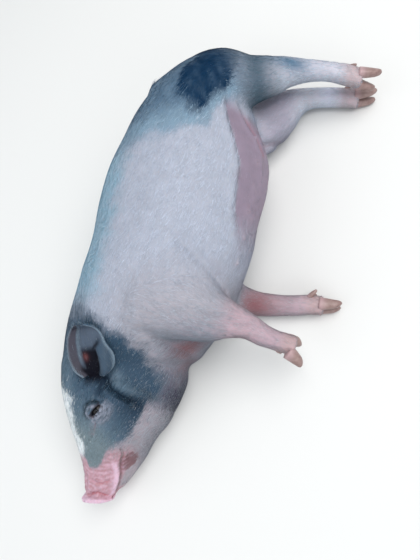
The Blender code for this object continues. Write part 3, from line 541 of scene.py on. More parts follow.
class Body:
    """The whole skin as one field: negative inside, zero on the skin, in millimetres."""

    def __init__(self):
        self.spine = Upright(SPINE, SPINE_DOMES, COAT_DEPTH)
        self.jowl = Upright(JOWL, JOWL_DOMES, COAT_DEPTH)
        self.legs = {name: Limb(rows, LEG_DOMES, COAT_DEPTH) for name, rows in LEGS.items()}
        self.eyes = [eye_frame(1), eye_frame(-1)]
        self.mean = 0.5 * (self.spine.rows[:, 3] + self.spine.rows[:, 4])
        self.ears = {name: ear_form(self, name) for name in EARS}

    def chart(self, p):
        """y and the length of the arc from the back, the same on both sides, with its scale."""
        mean = np.interp(p[:, 1], self.spine.rows[:, 1], self.mean)
        return p[:, 1], np.radians(np.abs(self.spine.angle(p))) * mean

    def line_distance(self, points, y, arc):
        """Distance on the chart to a line of (y, angle) points, and the share of its length."""
        points = np.array(points, float)
        line = np.stack([points[:, 0], np.radians(points[:, 1])
                         * np.interp(points[:, 0], self.spine.rows[:, 1], self.mean)], 1)
        best = np.full(len(y), 1e9)
        share = np.zeros(len(y))
        steps = np.concatenate([[0], np.cumsum(np.linalg.norm(np.diff(line, axis=0), axis=1))])
        for k in range(len(line) - 1):
            way = line[k + 1] - line[k]
            size = (way ** 2).sum()
            t = np.clip(((y - line[k, 0]) * way[0] + (arc - line[k, 1]) * way[1]) / size, 0, 1)
            gap = np.hypot(y - line[k, 0] - way[0] * t, arc - line[k, 1] - way[1] * t)
            nearer = gap < best
            best[nearer] = gap[nearer]
            share[nearer] = ((steps[k] + t * math.sqrt(size)) / steps[-1])[nearer]
        return best, share

    def lids(self, p, d):
        """Bulges each eye's lids out, cuts the slit and leaves the socket."""
        for centre, look, run, rise in self.eyes:
            away = p - centre
            r = np.sqrt((away ** 2).sum(1))
            near = r < 34
            if not near.any():
                continue
            q, rq, dq = away[near], r[near], d[near]
            w, s, t = q @ look, q @ run, q @ rise
            front = smooth_step(-2, 4, w)
            ring = np.hypot(s + 4.0, t)
            turn = np.arctan2(t, s)
            dq = dq - front * 3.0 * np.exp(-(np.hypot(s, t + 3.0) / 17.0) ** 4)
            dq = soft_min(dq, rq - LID_REACH, 6.0)
            upper = smooth_step(-1.5, 4, t)
            for place, depth, wide in LID_FOLDS:
                dq = dq + front * upper * depth * bell(ring, wide, place)
            lower = smooth_step(0, -4, t)
            wave = np.hypot(s, t) + 0.7 * np.sin(turn * 4 + 1) + 0.3 * np.sin(turn * 9)
            for place, depth, wide in EYE_FOLDS:
                dq = dq + front * lower * depth * bell(wave, wide, place)
            bow = np.sqrt(np.clip(1 - (s / SLIT_HALF) ** 2, 0, 1))
            middle = 0.6 - 0.06 * s
            slit = np.maximum((t - middle) - SLIT_OPEN[0] * bow, -(t - middle) - SLIT_OPEN[1] * bow)
            slit = np.where(np.abs(s) < SLIT_HALF, slit, 4.0)
            slit = np.where(w > 0, np.maximum(slit, np.abs(s) - SLIT_HALF), 9.0)
            rim = np.abs(t - middle) - np.where(t > middle, SLIT_OPEN[0], SLIT_OPEN[1]) * bow
            dq = dq - front * 0.5 * bell(rim, 1.0, 1.3) * smooth_step(12, 8, np.abs(s))
            dq = soft_max(dq, -slit, 1.0)
            dq = np.maximum(dq, LID_SOCKET - rq)
            d = d.copy()
            d[near] = dq
        return d

    def creases(self, p, d):
        """Adds the folds, the drop behind the fold of the flank, the teats, the mouth and noise."""
        near = np.abs(d) < 14
        q = p[near]
        if not len(q):
            return d
        y, arc = self.chart(q)
        change = np.zeros(len(q))
        for points, width, height in FOLDS.values():
            ys = [point[0] for point in points]
            part = (y > min(ys) - 3 * width) & (y < max(ys) + 3 * width)
            if not part.any():
                continue
            gap, share = self.line_distance(points, y[part], arc[part])
            fade = np.clip(6 * share, 0, 1) * np.clip(6 * (1 - share), 0, 1)
            change[part] += height * (0.25 + 0.75 * fade) * bell(gap, width)
        angle = read_table(FLANK_FOLD, y)
        mean = np.interp(y, self.spine.rows[:, 1], self.mean)
        step = arc - np.radians(angle) * mean
        span = smooth_step(150, 215, y) * smooth_step(352, 330, y)
        change -= span * FLANK_DROP * smooth_step(-1.0, 9.0, step) * smooth_step(90, 30, step)
        change += span * 2.4 * bell(step + 3.5, 5.0)
        for ty, angle in TEATS:
            part = np.abs(y - ty) < 9
            if part.any():
                spot = self.on_section(ty, angle)
                gap = np.linalg.norm(q[part] - spot, axis=1)
                change[part] += TEAT_SIZE[1] * np.exp(-(gap / TEAT_SIZE[0]) ** 4) \
                    + 1.0 * bell(gap, 7.0)
        head = smooth_step(-20, -60, y)
        snout = smooth_step(-140, -152, y)
        change += snout * smooth_step(105, 70, np.degrees(arc / mean)) * (0.6 * ripple(q, 9, 31)
                                                                          + 0.4 * ripple(q, 5, 36))
        change += (0.9 - 0.5 * head) * ripple(q, 70, 32) * smooth_step(-100, 0, y)
        rims = smooth_step(-182, -187, y)
        change += rims * (0.6 * ripple(q, 16, 33) + 0.3 * ripple(q, 4, 38))
        part = y < -105
        if part.any():
            gap, share = self.line_distance(MOUTH, y[part], arc[part])
            swell = 0.9 * bell(gap, 2.2, 3.0)
            change[part] += swell - (3.6 - 1.2 * share) * bell(gap, 1.25)
        d = d.copy()
        d[near] -= change
        return d

    def nostrils(self, p, d):
        """Cuts an oval hole into the snout's disc on each side."""
        near = p[:, 1] < -165
        if not near.any():
            return d
        q, dq = p[near], d[near]
        disc = head_frame(DISC_Y)
        for side in (1, -1):
            hole = (q - disc[0] - disc[2] * side * NOSTRIL[0] - disc[1] * NOSTRIL[1])
            u, v, w = hole @ disc[1], hole @ disc[2], hole[:, 1]
            k = np.sqrt((u / NOSTRIL[2]) ** 2 + (v / NOSTRIL[3]) ** 2 + (w / NOSTRIL[4]) ** 2) + 1e-6
            rr = np.sqrt((hole ** 2).sum(1))
            dq = soft_max(dq, -(rr - rr / k), 1.6)
        d = d.copy()
        d[near] = dq
        return d

    def on_section(self, y, angle):
        """The point of the trunk's surface at a y and an angle around it."""
        rows = self.spine.rows
        x, z, a, b, roll = (np.interp(y, rows[:, 1], rows[:, k]) for k in (0, 2, 3, 4, 5))
        roll, turn = math.radians(roll), math.radians(angle)
        back = np.array([-math.cos(roll), 0, math.sin(roll)])
        flank = np.array([math.sin(roll), 0, math.cos(roll)])
        return np.array([x, y, z]) + back * a * math.cos(turn) + flank * b * math.sin(turn)

    def distance(self, p):
        """Trunk, jowl and legs run softly together, then the small forms, cut flat over the floor."""
        d = self.spine.distance(p)
        d = soft_min(d, self.jowl.distance(p), JOWL_BLEND)
        for name, leg in self.legs.items():
            d = soft_min(d, leg.distance(p), LEG_BLEND[name])
        d = self.creases(p, d)
        d = self.lids(p, d)
        d = self.nostrils(p, d)
        return soft_max(d, FLOOR_CLEAR - p[:, 2], 2.0)

    def gradient(self, p, step=0.25):
        """Slope of the field from its values at four corners around each point."""
        out = np.zeros_like(p)
        for corner in ((1, 1, 1), (1, -1, -1), (-1, 1, -1), (-1, -1, 1)):
            corner = np.array(corner, float)
            out += corner * self.distance(p + corner * step)[:, None]
        return out / (4 * step)


def grid_lines():
    """Places of the grid's planes along each axis."""
    axes = []
    for first, *parts in GRID:
        places = [first]
        for end, step in parts:
            while places[-1] < end:
                places.append(places[-1] + step)
        axes.append(np.array(places))
    return axes


def surface_net(values, axes):
    """A closed quad mesh around the negative part of a grid of values.

    Each cell that the surface crosses gets one vertex at the mean of its edges' crossings, and
    each crossed edge gets one face from the four cells around it."""
    inside = values < 0
    shape = np.array(values.shape)
    cells = tuple(shape - 1)
    total = int(np.prod(cells))
    place = np.zeros((total, 3))
    count = np.zeros(total)
    stride = np.array([cells[1] * cells[2], cells[2], 1])
    quads = []
    for axis in range(3):
        a = [slice(None)] * 3
        b = [slice(None)] * 3
        a[axis], b[axis] = slice(0, -1), slice(1, None)
        crossed = inside[tuple(a)] != inside[tuple(b)]
        index = np.argwhere(crossed)
        other = [k for k in range(3) if k != axis]
        keep = np.ones(len(index), bool)
        for k in other:
            keep &= (index[:, k] > 0) & (index[:, k] < shape[k] - 1)
        index = index[keep]
        low = values[tuple(index.T)]
        up = index.copy()
        up[:, axis] += 1
        high = values[tuple(up.T)]
        t = low / (low - high)
        point = np.stack([axes[k][index[:, k]] for k in range(3)], 1).astype(float)
        point[:, axis] += t * (axes[axis][up[:, axis]] - axes[axis][index[:, axis]])
        corner = []
        for s0, s1 in ((0, 0), (1, 0), (1, 1), (0, 1)):
            cell = index.copy()
            cell[:, other[0]] -= s0
            cell[:, other[1]] -= s1
            flat = cell @ stride
            corner.append(flat)
            for k in range(3):
                place[:, k] += np.bincount(flat, point[:, k], total)
            count += np.bincount(flat, minlength=total)
        quad = np.stack(corner, 1)
        flip = low < 0
        if axis == 1:
            flip = ~flip
        quad[flip] = quad[flip][:, ::-1]
        quads.append(quad)
    quads = np.concatenate(quads)
    used = np.flatnonzero(count)
    number = np.full(total, -1)
    number[used] = np.arange(len(used))
    return place[used] / count[used][:, None], number[quads]


def refine(verts, tris, wanted):
    """Splits each wanted edge at its middle, and the triangles beside it to match."""
    edges = np.sort(np.concatenate([tris[:, [0, 1]], tris[:, [1, 2]], tris[:, [2, 0]]]), axis=1)
    unique, back = np.unique(edges, axis=0, return_inverse=True)
    back = back.ravel()
    middle = verts[unique].mean(1)
    split = wanted(middle)
    number = np.full(len(unique), -1)
    number[split] = len(verts) + np.arange(split.sum())
    verts = np.concatenate([verts, middle[split]])
    mid = number[back].reshape(3, -1).T
    parts = (mid >= 0).sum(1)
    out = [tris[parts == 0]]
    for turn in range(3):
        order = [turn, (turn + 1) % 3, (turn + 2) % 3]
        t, m = tris[:, order], mid[:, order]
        one = (parts == 1) & (m[:, 0] >= 0)
        a, b, c, ab = t[one, 0], t[one, 1], t[one, 2], m[one, 0]
        out += [np.stack([a, ab, c], 1), np.stack([ab, b, c], 1)]
        two = (parts == 2) & (m[:, 2] < 0)
        a, b, c, ab, bc = t[two, 0], t[two, 1], t[two, 2], m[two, 0], m[two, 1]
        out += [np.stack([a, ab, c], 1), np.stack([ab, bc, c], 1), np.stack([ab, b, bc], 1)]
    full = parts == 3
    a, b, c = tris[full].T
    ab, bc, ca = mid[full].T
    out += [np.stack(s, 1) for s in ((a, ab, ca), (ab, b, bc), (ca, bc, c), (ab, bc, ca))]
    return verts, np.concatenate(out)


def settle(body, p, rounds=3):
    """Moves points onto the skin: along the slope of the field, by the field over the slope."""
    for _ in range(rounds):
        d = body.distance(p)
        slope = body.gradient(p)
        size = np.maximum((slope ** 2).sum(1), 0.15)
        p = p - np.clip(d / size, -2.5, 2.5)[:, None] * slope
    return p


def vertex_normals(verts, tris):
    """The sum of the normals of the triangles at each point, by their areas, made one long."""
    cross = np.cross(verts[tris[:, 1]] - verts[tris[:, 0]], verts[tris[:, 2]] - verts[tris[:, 0]])
    out = np.zeros_like(verts)
    for k in range(3):
        for c in range(3):
            out[:, c] += np.bincount(tris[:, k], cross[:, c], len(verts))
    return out / np.maximum(np.linalg.norm(out, axis=1), 1e-12)[:, None]


# Markings, with painted shade and painted light among them

def masks(body, p):
    """Where each marking lies, from 0 to 1, from the angle round the body, y and noise."""
    angle = np.abs(body.spine.angle(p))
    y = p[:, 1]
    fringe = 5 * ripple(p, 26, 3) + 3 * ripple(p, 9, 4)
    soft = np.interp(angle, [44, 64, 96, 110], [30, 10, 11, 16])
    head = smooth_step(1, -1, (y - read_table(HEAD_EDGE, angle) + fringe) / soft)
    muzzle = y - read_table(MUZZLE_EDGE, angle) + 0.45 * fringe
    muzzle = smooth_step(1, -1, muzzle / np.interp(angle, [60, 80], [4, 12]))
    rump = smooth_step(-12, 12, y - read_table(RUMP_EDGE, angle) + 0.7 * fringe)
    blaze = smooth_step(5, -5, angle - read_table(BLAZE_WIDTH, y) + 0.4 * fringe) * smooth_step(-26, -36, y)
    core = smooth_step(-9, 9, y - read_table(CORE_EDGE, angle) + 0.8 * fringe)
    throat = smooth_step(112, 134, angle + 0.7 * fringe) * smooth_step(24, 2, y)
    out = {"head": head, "muzzle": muzzle, "rump": rump, "blaze": blaze, "core": core * rump,
           "throat": throat}
    # Band along the back: bluish hair, with painted shade on it
    out["back"] = smooth_step(70, 50, angle + 0.8 * fringe) * smooth_step(60, 110, y)
    edge = read_table(FLANK_FOLD, y)
    out["bare"] = smooth_step(-2.5, 6.5, angle - edge + 0.25 * fringe) * smooth_step(110, 200, y)
    out["bare"] = out["bare"] * smooth_step(352, 326, y + 0.25 * (angle - 131))
    out["grey"] = head * (1 - muzzle) * (1 - blaze) * (1 - throat)
    leg_share = np.zeros(len(p))
    foot = np.zeros(len(p))
    for name, leg in body.legs.items():
        d = leg.distance(p)
        near = smooth_step(12, 2, d)
        i = leg.nearest(p)
        s = leg.along[i] / leg.along[-1]
        start = 0.40 if "fore" in name else 0.26
        mine = near * smooth_step(start, start + 0.16, s)
        leg_share = np.maximum(leg_share, mine)
        out[name] = mine
        foot = np.maximum(foot, near * smooth_step(0.84, 0.95, s))
    out["leg"], out["foot"] = leg_share, foot
    return out


class Painter:
    """Mixes the named colours over each other at points, for the skin or for the hair on it."""

    def __init__(self, body, p, hair):
        self.body, self.p, self.hair = body, p, int(hair)
        self.masks = masks(body, p)
        self.angle = np.abs(body.spine.angle(p))
        self.chart = body.chart(p)
        self.light = self.masks["head"] * self.masks["muzzle"]
        self.pink = np.clip(smooth_step(-104, -122, p[:, 1]) * smooth_step(118, 98, self.angle)
                            + smooth_step(-166, -176, p[:, 1]), 0, 1)
        self.colour = np.tile(np.array(TINTS["belt"][self.hair]), (len(p), 1))

    def paint(self, name, weight):
        """Mixes a named colour in by a weight from 0 to 1."""
        weight = np.asarray(weight)[:, None]
        self.colour = self.colour * (1 - weight) + np.array(TINTS[name][self.hair]) * weight

    def spot(self, centre, reach):
        """A soft oval patch around a place."""
        return bell(np.linalg.norm((self.p - np.array(centre, float)) / np.array(reach, float), axis=1), 1.0)

    def along(self, points, reach):
        """A soft band along a line of (y, angle) points."""
        return bell(self.body.line_distance(points, *self.chart)[0], reach)

    def fold(self, name, reach):
        """A soft band along a named fold."""
        return self.along(FOLDS[name][0], reach)

    def trunk_and_legs(self):
        """Belt, bluish band down the back with painted shade on it, rump with its streaks, bare belly, legs
        and feet, with painted shade on the chest and in the hollows at the forelegs, and painted light on
        the far hind shank.
        """
        p, y, angle, m, paint = self.p, self.p[:, 1], self.angle, self.masks, self.paint
        trunk = 1 - m["leg"]
        paint("shoulder", 0.8 * smooth_step(150, 60, y) * smooth_step(60, 100, angle))
        # painted shade: the chest darkens toward its belly side
        paint("chest", 0.75 * smooth_step(96, 120, angle) * smooth_step(75, 30, y))
        # bluish hair along the back, darkened as painted shade of its shadowed side
        paint("back_band_and_shade", 0.9 * m["back"] * (1 - m["rump"]))
        rump = m["rump"] * trunk
        streak = ripple(np.stack([p[:, 0] * 3, p[:, 1], p[:, 2] * 3], 1), 34, 8)
        from_edge = y - read_table(RUMP_EDGE, angle)
        paint("rump", rump)
        paint("streak", rump * np.clip(0.75 * smooth_step(46, 8, from_edge + 12 * streak)
                                       + 0.15 * streak, 0, 1))
        paint("core", m["core"] * trunk * np.clip(0.94 + 0.15 * streak, 0, 1))
        paint("bare", m["bare"] * trunk)
        paint("thigh", m["hindleg_left"])
        paint("leg", np.maximum(m["hindleg_left"] * smooth_step(-62, -14, p[:, 0]), m["hindleg_right"]))
        paint("inner", m["hindleg_right"] * smooth_step(-2, -34, p[:, 0]) * 0.8)
        # redder skin in the groin fold, darkened as painted shade
        paint("crease", 0.30 * m["bare"] * self.fold("groin_fold", 3.0))
        # painted light: the far hind shank is lightened to offset the shadow that the near hind leg casts on
        # it
        paint("far_shank_painted_light", 0.8 * m["hindleg_right"] * smooth_step(8, 36, p[:, 0]))
        paint("hock", 0.95 * self.spot((-22, 412, 112), (34, 14, 22)) * m["hindleg_left"])
        paint("foreleg", np.maximum(m["foreleg_left"], m["foreleg_right"]))
        # painted shade: reddish dark in the hollow behind the far foreleg, and a small spot by the near
        # foreleg
        paint("underarm_red_and_shade", np.clip(0.9 * self.spot((-82, 84, 48), (30, 26, 36)) * smooth_step(-110, -96, p[:, 0])
                             + 0.5 * self.spot((-95, 36, 108), (14, 10, 14)), 0, 1))
        paint("foot", 0.7 * m["foot"])
        # painted shade: reddish dark in the fold between the near foreleg and the neck
        paint("underarm_red_and_shade", np.maximum(0.95 * self.spot((-168, 18, 92), (21, 17, 26)),
                                0.6 * self.spot((-177, -4, 55), (18, 16, 24))))

    def head(self):
        """Grey face with painted shade in the creases below and before the ear, a darker patch on the cheek
        and a painted highlight on the roll below the ear, throat, light jaw, muzzle with painted shade at
        the mouth's corner and a pale lip roll lightened in part as a painted highlight, and blaze.
        """
        p, y, angle, m, paint = self.p, self.p[:, 1], self.angle, self.masks, self.paint
        light, grey = self.light, m["grey"]
        paint("throat", m["head"] * m["throat"] * (1 - m["muzzle"]))
        paint("grey", grey)
        sloped = y + np.where(angle > 62, 1.6, 0.5) * (angle - 62)
        paint("face", grey * np.maximum(smooth_step(-20, -92, sloped) * 0.9,
                                        0.85 * smooth_step(46, 24, angle) * smooth_step(40, 0, y)))
        paint("fore_face", grey * smooth_step(-62, -112, sloped) * 0.95)
        # painted highlight along the roll below the ear, fading toward its end
        paint("face", grey * 0.9 * self.fold("roll_below_ear", 7.0) * smooth_step(108, 84, angle))
        # painted shade: near-black in the creases below and before the ear
        for name, reach in (("fold_below_ear", 5.5), ("fold_before_ear", 5.0)):
            paint("dark", grey * 0.95 * self.fold(name, reach))
        paint("dark", grey * 0.8 * self.spot((-238, -54, 101), (17, 17, 18)))
        paint("jaw", light)
        paint("pink", light * self.pink * 0.9)
        pad = np.hypot((y + 133) / 13.5, (angle - 111) / 15.5) + 0.10 * ripple(p, 12, 21)
        # reddish bare skin at the mouth's corner, darkened as painted shade under the overhanging upper lip
        paint("lip", 0.9 * light * smooth_step(1.12, 0.86, pad))
        # lip roll: pale lilac skin, lightened in part as a painted highlight
        paint("rim", 0.95 * self.fold("lip_roll_pale_and_highlight", 3.4) * smooth_step(-126, -138, y) * light)
        paint("blaze", m["head"] * m["blaze"] * smooth_step(-136, -118, y))

    def disc(self):
        """The snout's disc with its pale rim, lightened in part as a painted highlight, painted shade in its
        nostrils, and the groove behind it darkened as painted shade.
        """
        p, y, angle, paint = self.p, self.p[:, 1], self.angle, self.paint
        # the disc: pale lilac-pink, lightened in part as a painted highlight
        paint("rim", smooth_step(-181, -186, y))
        disc = head_frame(DISC_Y)
        away = p - disc[0]
        radius = np.hypot(away @ disc[1] / 24.5, away @ disc[2] / 26.5)
        front = smooth_step(-184, -188, y)
        paint("disc", front * smooth_step(0.98, 0.76, radius) * (0.8 + 0.2 * ripple(p, 5, 37)))
        for side in (1, -1):
            hole = away - disc[2] * side * NOSTRIL[0] - disc[1] * NOSTRIL[1]
            around = np.hypot(hole @ disc[1] / NOSTRIL[2], hole @ disc[2] / NOSTRIL[3])
            # painted shade inside the nostrils
            paint("lip", 0.85 * smooth_step(-181, -184, y) * smooth_step(1.08, 0.86, around))
        # redder skin in the groove behind the disc, darkened as painted shade
        paint("crease", 0.85 * self.fold("groove_behind_disc", 2.2) * smooth_step(-160, -170, y)
              * smooth_step(12, 50, angle))

    def snout_skin(self):
        """Pale mottling of the bare snout, lightened in part as a painted highlight, veins, painted shade in
        its fold and along the mouth's line, and the teats.
        """
        p, y, light, pink, paint = self.p, self.p[:, 1], self.light, self.pink, self.paint
        mottle = np.clip(0.5 + 0.5 * ripple(p, 6, 22), 0, 1)
        # pale mottling on the snout, lightened in part as a painted highlight
        paint("rim", 0.52 * light * pink * mottle)
        veins = ripple(p + 3 * ripple(p, 9, 35)[:, None], 6, 33)
        paint("crease", 0.20 * light * pink * np.clip(1.6 * veins, 0, 1))
        # redder skin in the snout's fold, darkened as painted shade
        paint("crease", 0.45 * self.fold("snout_fold", 1.6))
        # painted shade along the mouth's line
        paint("lip", 0.9 * self.along(MOUTH, 1.6) * smooth_step(-106, -114, y))
        for ty, tangle in TEATS:
            place = self.body.on_section(ty, tangle)
            paint("teat", 0.4 * bell(np.linalg.norm(p - place, axis=1), 4.5))

    def eyes(self):
        """Lids with a lighter upper lid's crest, partly a painted highlight, painted shade in the crease
        above it, lighter skin below and dark edges, and the stain that tears leave below.
        """
        paint = self.paint
        paint("pink", 0.36 * self.masks["head"] * self.along(TEAR_STAIN, 1.7))
        for centre, look, run, rise in self.body.eyes:
            away = self.p - centre
            w, s, u = away @ look, away @ run, away @ rise
            front = smooth_step(0, 4, w)
            ring = np.hypot(s + 4.0, u)
            # lighter crest of the upper lid's bulge, partly a painted highlight
            paint("upper_lid", 0.85 * front * bell(ring, 2.6, 10.4) * smooth_step(0, 4, u))
            paint("under_eye", 0.8 * front * smooth_step(28, 12, np.hypot(s + 3, u + 2))
                  * smooth_step(1, -3, u))
            # painted shade: near-black in the crease above the upper lid
            paint("lid_crease_shade", 0.8 * front * bell(ring, 1.9, 15.4) * smooth_step(2, 6, u))
            paint("lid_edge", 0.85 * front * smooth_step(4.8, 3.2, np.abs(u - 0.6))
                  * smooth_step(12.5, 9.5, np.abs(s)))

    def ears(self):
        """Inside of each ear: panel, band, lobe, painted shade in the hollow, at the root and on the head
        inside the cup, red patch and pale margins.
        """
        ear, _, share, t, above, cupped = ear_place(self.body, self.p)
        paint = self.paint
        inside = ear * (above > 0)
        paint("ear_panel", inside)
        paint("ear_band", inside * smooth_step(-0.42, -0.56, t))
        paint("ear_lobe", inside * smooth_step(0.42, 0.58, t) * smooth_step(0.72, 0.52, share))
        limit = np.interp(share, [0.0, 0.12, 0.30, 0.45, 0.60], [0.74, 0.62, 0.46, 0.42, 0.34])
        hollow = (smooth_step(0.56, 0.40, share) * smooth_step(0.08, -0.08, t - limit)
                  * smooth_step(-0.50, -0.24, t))
        line = 0.16 + 0.55 * smooth_step(0.42, 0.66, share)
        deep = np.maximum(hollow, 0.9 * bell(t - line, 0.12) * smooth_step(0.72, 0.55, share))
        near_root = smooth_step(0.26, 0.10, share) * smooth_step(0.8, 0.5, np.abs(t))
        # painted shade: near-black in the ear's hollow, at its root and on the head inside the cup
        paint("ear_hollow_shade", 0.97 * np.maximum(inside * np.maximum(deep, near_root), cupped))
        paint("ear_red", 0.85 * inside * bell(t + 0.20, 0.14) * bell(share, 0.07, 0.33))
        ridge = bell(t + 0.45 - 0.10 * share, 0.05)
        paint("ear_margin", inside * np.maximum(0.40 * ridge * smooth_step(0.2, 0.35, share),
                                                0.8 * smooth_step(0.86, 0.97, np.abs(t))))


def skin_colour(body, p, hair):
    """Colour at each point and its masks: of the skin under the coat, or of the hair on it."""
    painter = Painter(body, p, hair)
    painter.trunk_and_legs()
    painter.head()
    painter.disc()
    if not hair:
        painter.snout_skin()
    painter.eyes()
    painter.ears()
    return np.clip(painter.colour, 0.004, 0.95), painter.masks


# Meshes

def to_frame(points):
    """Millimetres from below the camera, as metres in the model's frame."""
    return (points - OUTLINE_CENTRE) * MM


def mesh_object(name, verts, faces, smooth=True):
    """A new object from whole arrays of points and of faces with the same number of corners."""
    data = bpy.data.meshes.new(name)
    sides = faces.shape[1]
    data.vertices.add(len(verts))
    data.vertices.foreach_set("co", np.ascontiguousarray(verts, np.float32).ravel())
    data.loops.add(faces.size)
    data.loops.foreach_set("vertex_index", np.ascontiguousarray(faces, np.int32).ravel())
    data.polygons.add(len(faces))
    data.polygons.foreach_set("loop_start", np.arange(len(faces), dtype=np.int32) * sides)
    data.polygons.foreach_set("use_smooth", np.full(len(faces), smooth))
    data.update(calc_edges=True)
    data.validate()
    made = bpy.data.objects.new(name, data)
    bpy.context.scene.collection.objects.link(made)
    return made


def set_colour(target, name, colours):
    """Stores a colour for each point of a mesh under a name."""
    layer = target.data.attributes.new(name, "FLOAT_COLOR", "POINT")
    rgba = np.ones((len(colours), 4), np.float32)
    rgba[:, :colours.shape[1]] = colours
    layer.data.foreach_set("color", rgba.ravel())


def set_values(target, name, values):
    """Stores one number or one vector for each point of a mesh under a name."""
    kind, key = ("FLOAT", "value") if values.ndim == 1 else ("FLOAT_VECTOR", "vector")
    layer = target.data.attributes.new(name, kind, "POINT")
    layer.data.foreach_set(key, values.astype(np.float32).ravel())


def ear_form(body, name):
    """Steps across an ear and above its middle line, as arrays of shares by t.

    The share runs from root to tip and t from the front margin, -1, to the hind margin, 1. The
    floor of the cup lies just clear of the head, the front wall rises to its margin as t squared,
    and the hind wall is a rolled lobe. Last the ear is lifted clear of the head all over."""
    root, run, opening, across = ear_axes(name)
    share = EAR_SHARES[:, None]
    t = EAR_TS[None, :]
    columns = []
    for k in range(1, 5):
        column = np.interp(EAR_SHARES, EAR_PROFILE[:, 0], EAR_PROFILE[:, k])
        soft = np.convolve(np.pad(column, 3, "edge"), np.full(7, 1 / 7), "valid")
        columns.append(np.where(EAR_SHARES < 0.95, soft, column)[:, None])
    front, hind, base, rim = columns
    side = np.where(t < 0, -front, hind) * (1.06 * t - 0.06 * t ** 3)
    clear = EAR_LIFT * smooth_step(0.02, 0.12, share) - 2.0

    def lifted(side, rise, limit):
        """Raises the points until they lie clear of the head by the limit."""
        for _ in range(8):
            p = (root + run * (EAR_LENGTH * share)[..., None] + across * side[..., None]
                 + opening * rise[..., None])
            gap = body.distance(p.reshape(-1, 3)).reshape(rise.shape)
            rise = rise + np.clip(limit - gap, 0, 6)
        return rise

    floor = lifted(0 * share, base, clear)
    floor = np.minimum(floor, rim)
    wall = rim - floor
    left = np.clip(-t, 0, 1)
    lobe = smooth_step(0.04, 0.12, share) * smooth_step(0.72, 0.42, share)
    right = np.clip(t, 0, 1)
    rise = floor + wall * left ** 2.2
    hump = smooth_step(0.22, 0.66, right) - (0.30 + 0.25 * lobe) * smooth_step(0.70, 1.0, right)
    rise = rise + (wall + 8.0 * lobe) * (lobe * hump + (1 - lobe) * right ** 2.2)
    body_part = smooth_step(0.10, 0.30, share) * smooth_step(1.0, 0.80, share)
    rise = rise - 2.0 * body_part * smooth_step(-0.90, -1.0, t)
    rise = lifted(side, rise, clear)
    rise = rise + 1.8 * body_part * bell(t + 0.45 - 0.10 * share, 0.085)
    rise = rise + 1.4 * body_part * bell(t + 0.12, 0.12) * smooth_step(0.36, 0.55, share)
    return side, rise


def ear_axes(name):
    """Root of an ear, with the ways to its tip, out of its cup and across it."""
    root, run, opening = (np.array(v, float) for v in EARS[name])
    run = unit(run)
    opening = unit(opening - run * run.dot(opening))
    return root, run, opening, np.cross(run, opening)


def ear_place(body, p):
    """For each point: how far it belongs to an ear's leaf, which ear, its share, t and side.

    The side is above 0 inside the cup. Also how deep a point of the head lies inside the cup."""
    share = np.zeros(len(p))
    t = np.zeros(len(p))
    weight = np.zeros(len(p))
    above = np.zeros(len(p))
    cupped = np.zeros(len(p))
    which = np.zeros(len(p), int)
    last_row, last_column = len(EAR_SHARES) - 1, len(EAR_TS) - 1
    for number, name in enumerate(EARS):
        root, run, opening, across = ear_axes(name)
        sides, rises = body.ears[name]
        close = np.flatnonzero(((p - root) ** 2).sum(1) < (EAR_LENGTH + 14) ** 2)
        if not len(close):
            continue
        away = p[close] - root
        s = away @ run / EAR_LENGTH
        u = away @ across
        h = away @ opening
        row = np.clip(np.rint(s * last_row).astype(int), 0, last_row)
        miss = (sides[row] - u[:, None]) ** 2 + (rises[row] - h[:, None]) ** 2
        column = miss.argmin(1)
        best = np.sqrt(miss[np.arange(len(close)), column])
        out = body.distance(p[close]) > 0.5
        mine = out & (s > -0.1) & (s < 1.1) & (best < 4.5)
        index = close[mine]
        weight[index] = 1.0
        share[index], t[index], which[index] = np.clip(s[mine], 0, 1), EAR_TS[column[mine]], number
        lo = np.clip(column[mine] - 1, 0, last_column)
        hi = np.clip(column[mine] + 1, 0, last_column)
        rowm = row[mine]
        du, dh = sides[rowm, hi] - sides[rowm, lo], rises[rowm, hi] - rises[rowm, lo]
        gap = ((h[mine] - rises[rowm, column[mine]]) * du - (u[mine] - sides[rowm, column[mine]]) * dh)
        above[index] = gap / np.maximum(np.hypot(du, dh), 1e-6)
        inner = ~out & (s > -0.25) & (s < 0.5) & (np.abs(u) < 17) & (np.abs(h - rises[row, column] - 4) < 8)
        cupped[close[inner]] = smooth_step(17, 9, np.abs(u[inner])) * smooth_step(-0.22, -0.02, s[inner])
    return weight, which, share, t, above, cupped


def ear_mesh(body, name):
    """A cupped leaf: rows along the ear, each an arc across it, thickened along its own normals."""
    root, run, opening, across = ear_axes(name)
    share = EAR_SHARES[:, None]
    t = EAR_TS[None, :]
    side, rise = body.ears[name]
    points = (root + run * (EAR_LENGTH * share)[..., None] + across * side[..., None]
              + opening * rise[..., None])
    du = np.gradient(points, axis=0)
    dv = np.gradient(points, axis=1)
    normal = unit(np.cross(du, dv))
    thick = 1.6 * np.sqrt(np.clip(1 - 0.7 * np.maximum(np.abs(t), share ** 3) ** 14, 0.1, 1)) + 0 * share
    upper = points + normal * thick[..., None]
    lower = points - normal * thick[..., None]
    rows, cols = share.shape[0], t.shape[1]
    index = np.arange(rows * cols).reshape(rows, cols)
    top = np.stack([index[:-1, :-1], index[:-1, 1:], index[1:, 1:], index[1:, :-1]], 2).reshape(-1, 4)
    low = top[:, ::-1] + rows * cols
    rim = np.concatenate([index[0, :-1], index[:-1, -1], index[-1, :0:-1], index[:0:-1, 0]])
    after = np.roll(rim, -1)
    wall = np.stack([after, rim, rim + rows * cols, after + rows * cols], 1)
    faces = np.concatenate([top, low, wall])
    verts = np.concatenate([upper.reshape(-1, 3), lower.reshape(-1, 3)])
    verts[:, 2] = np.maximum(verts[:, 2], 0.8)
    return verts, faces


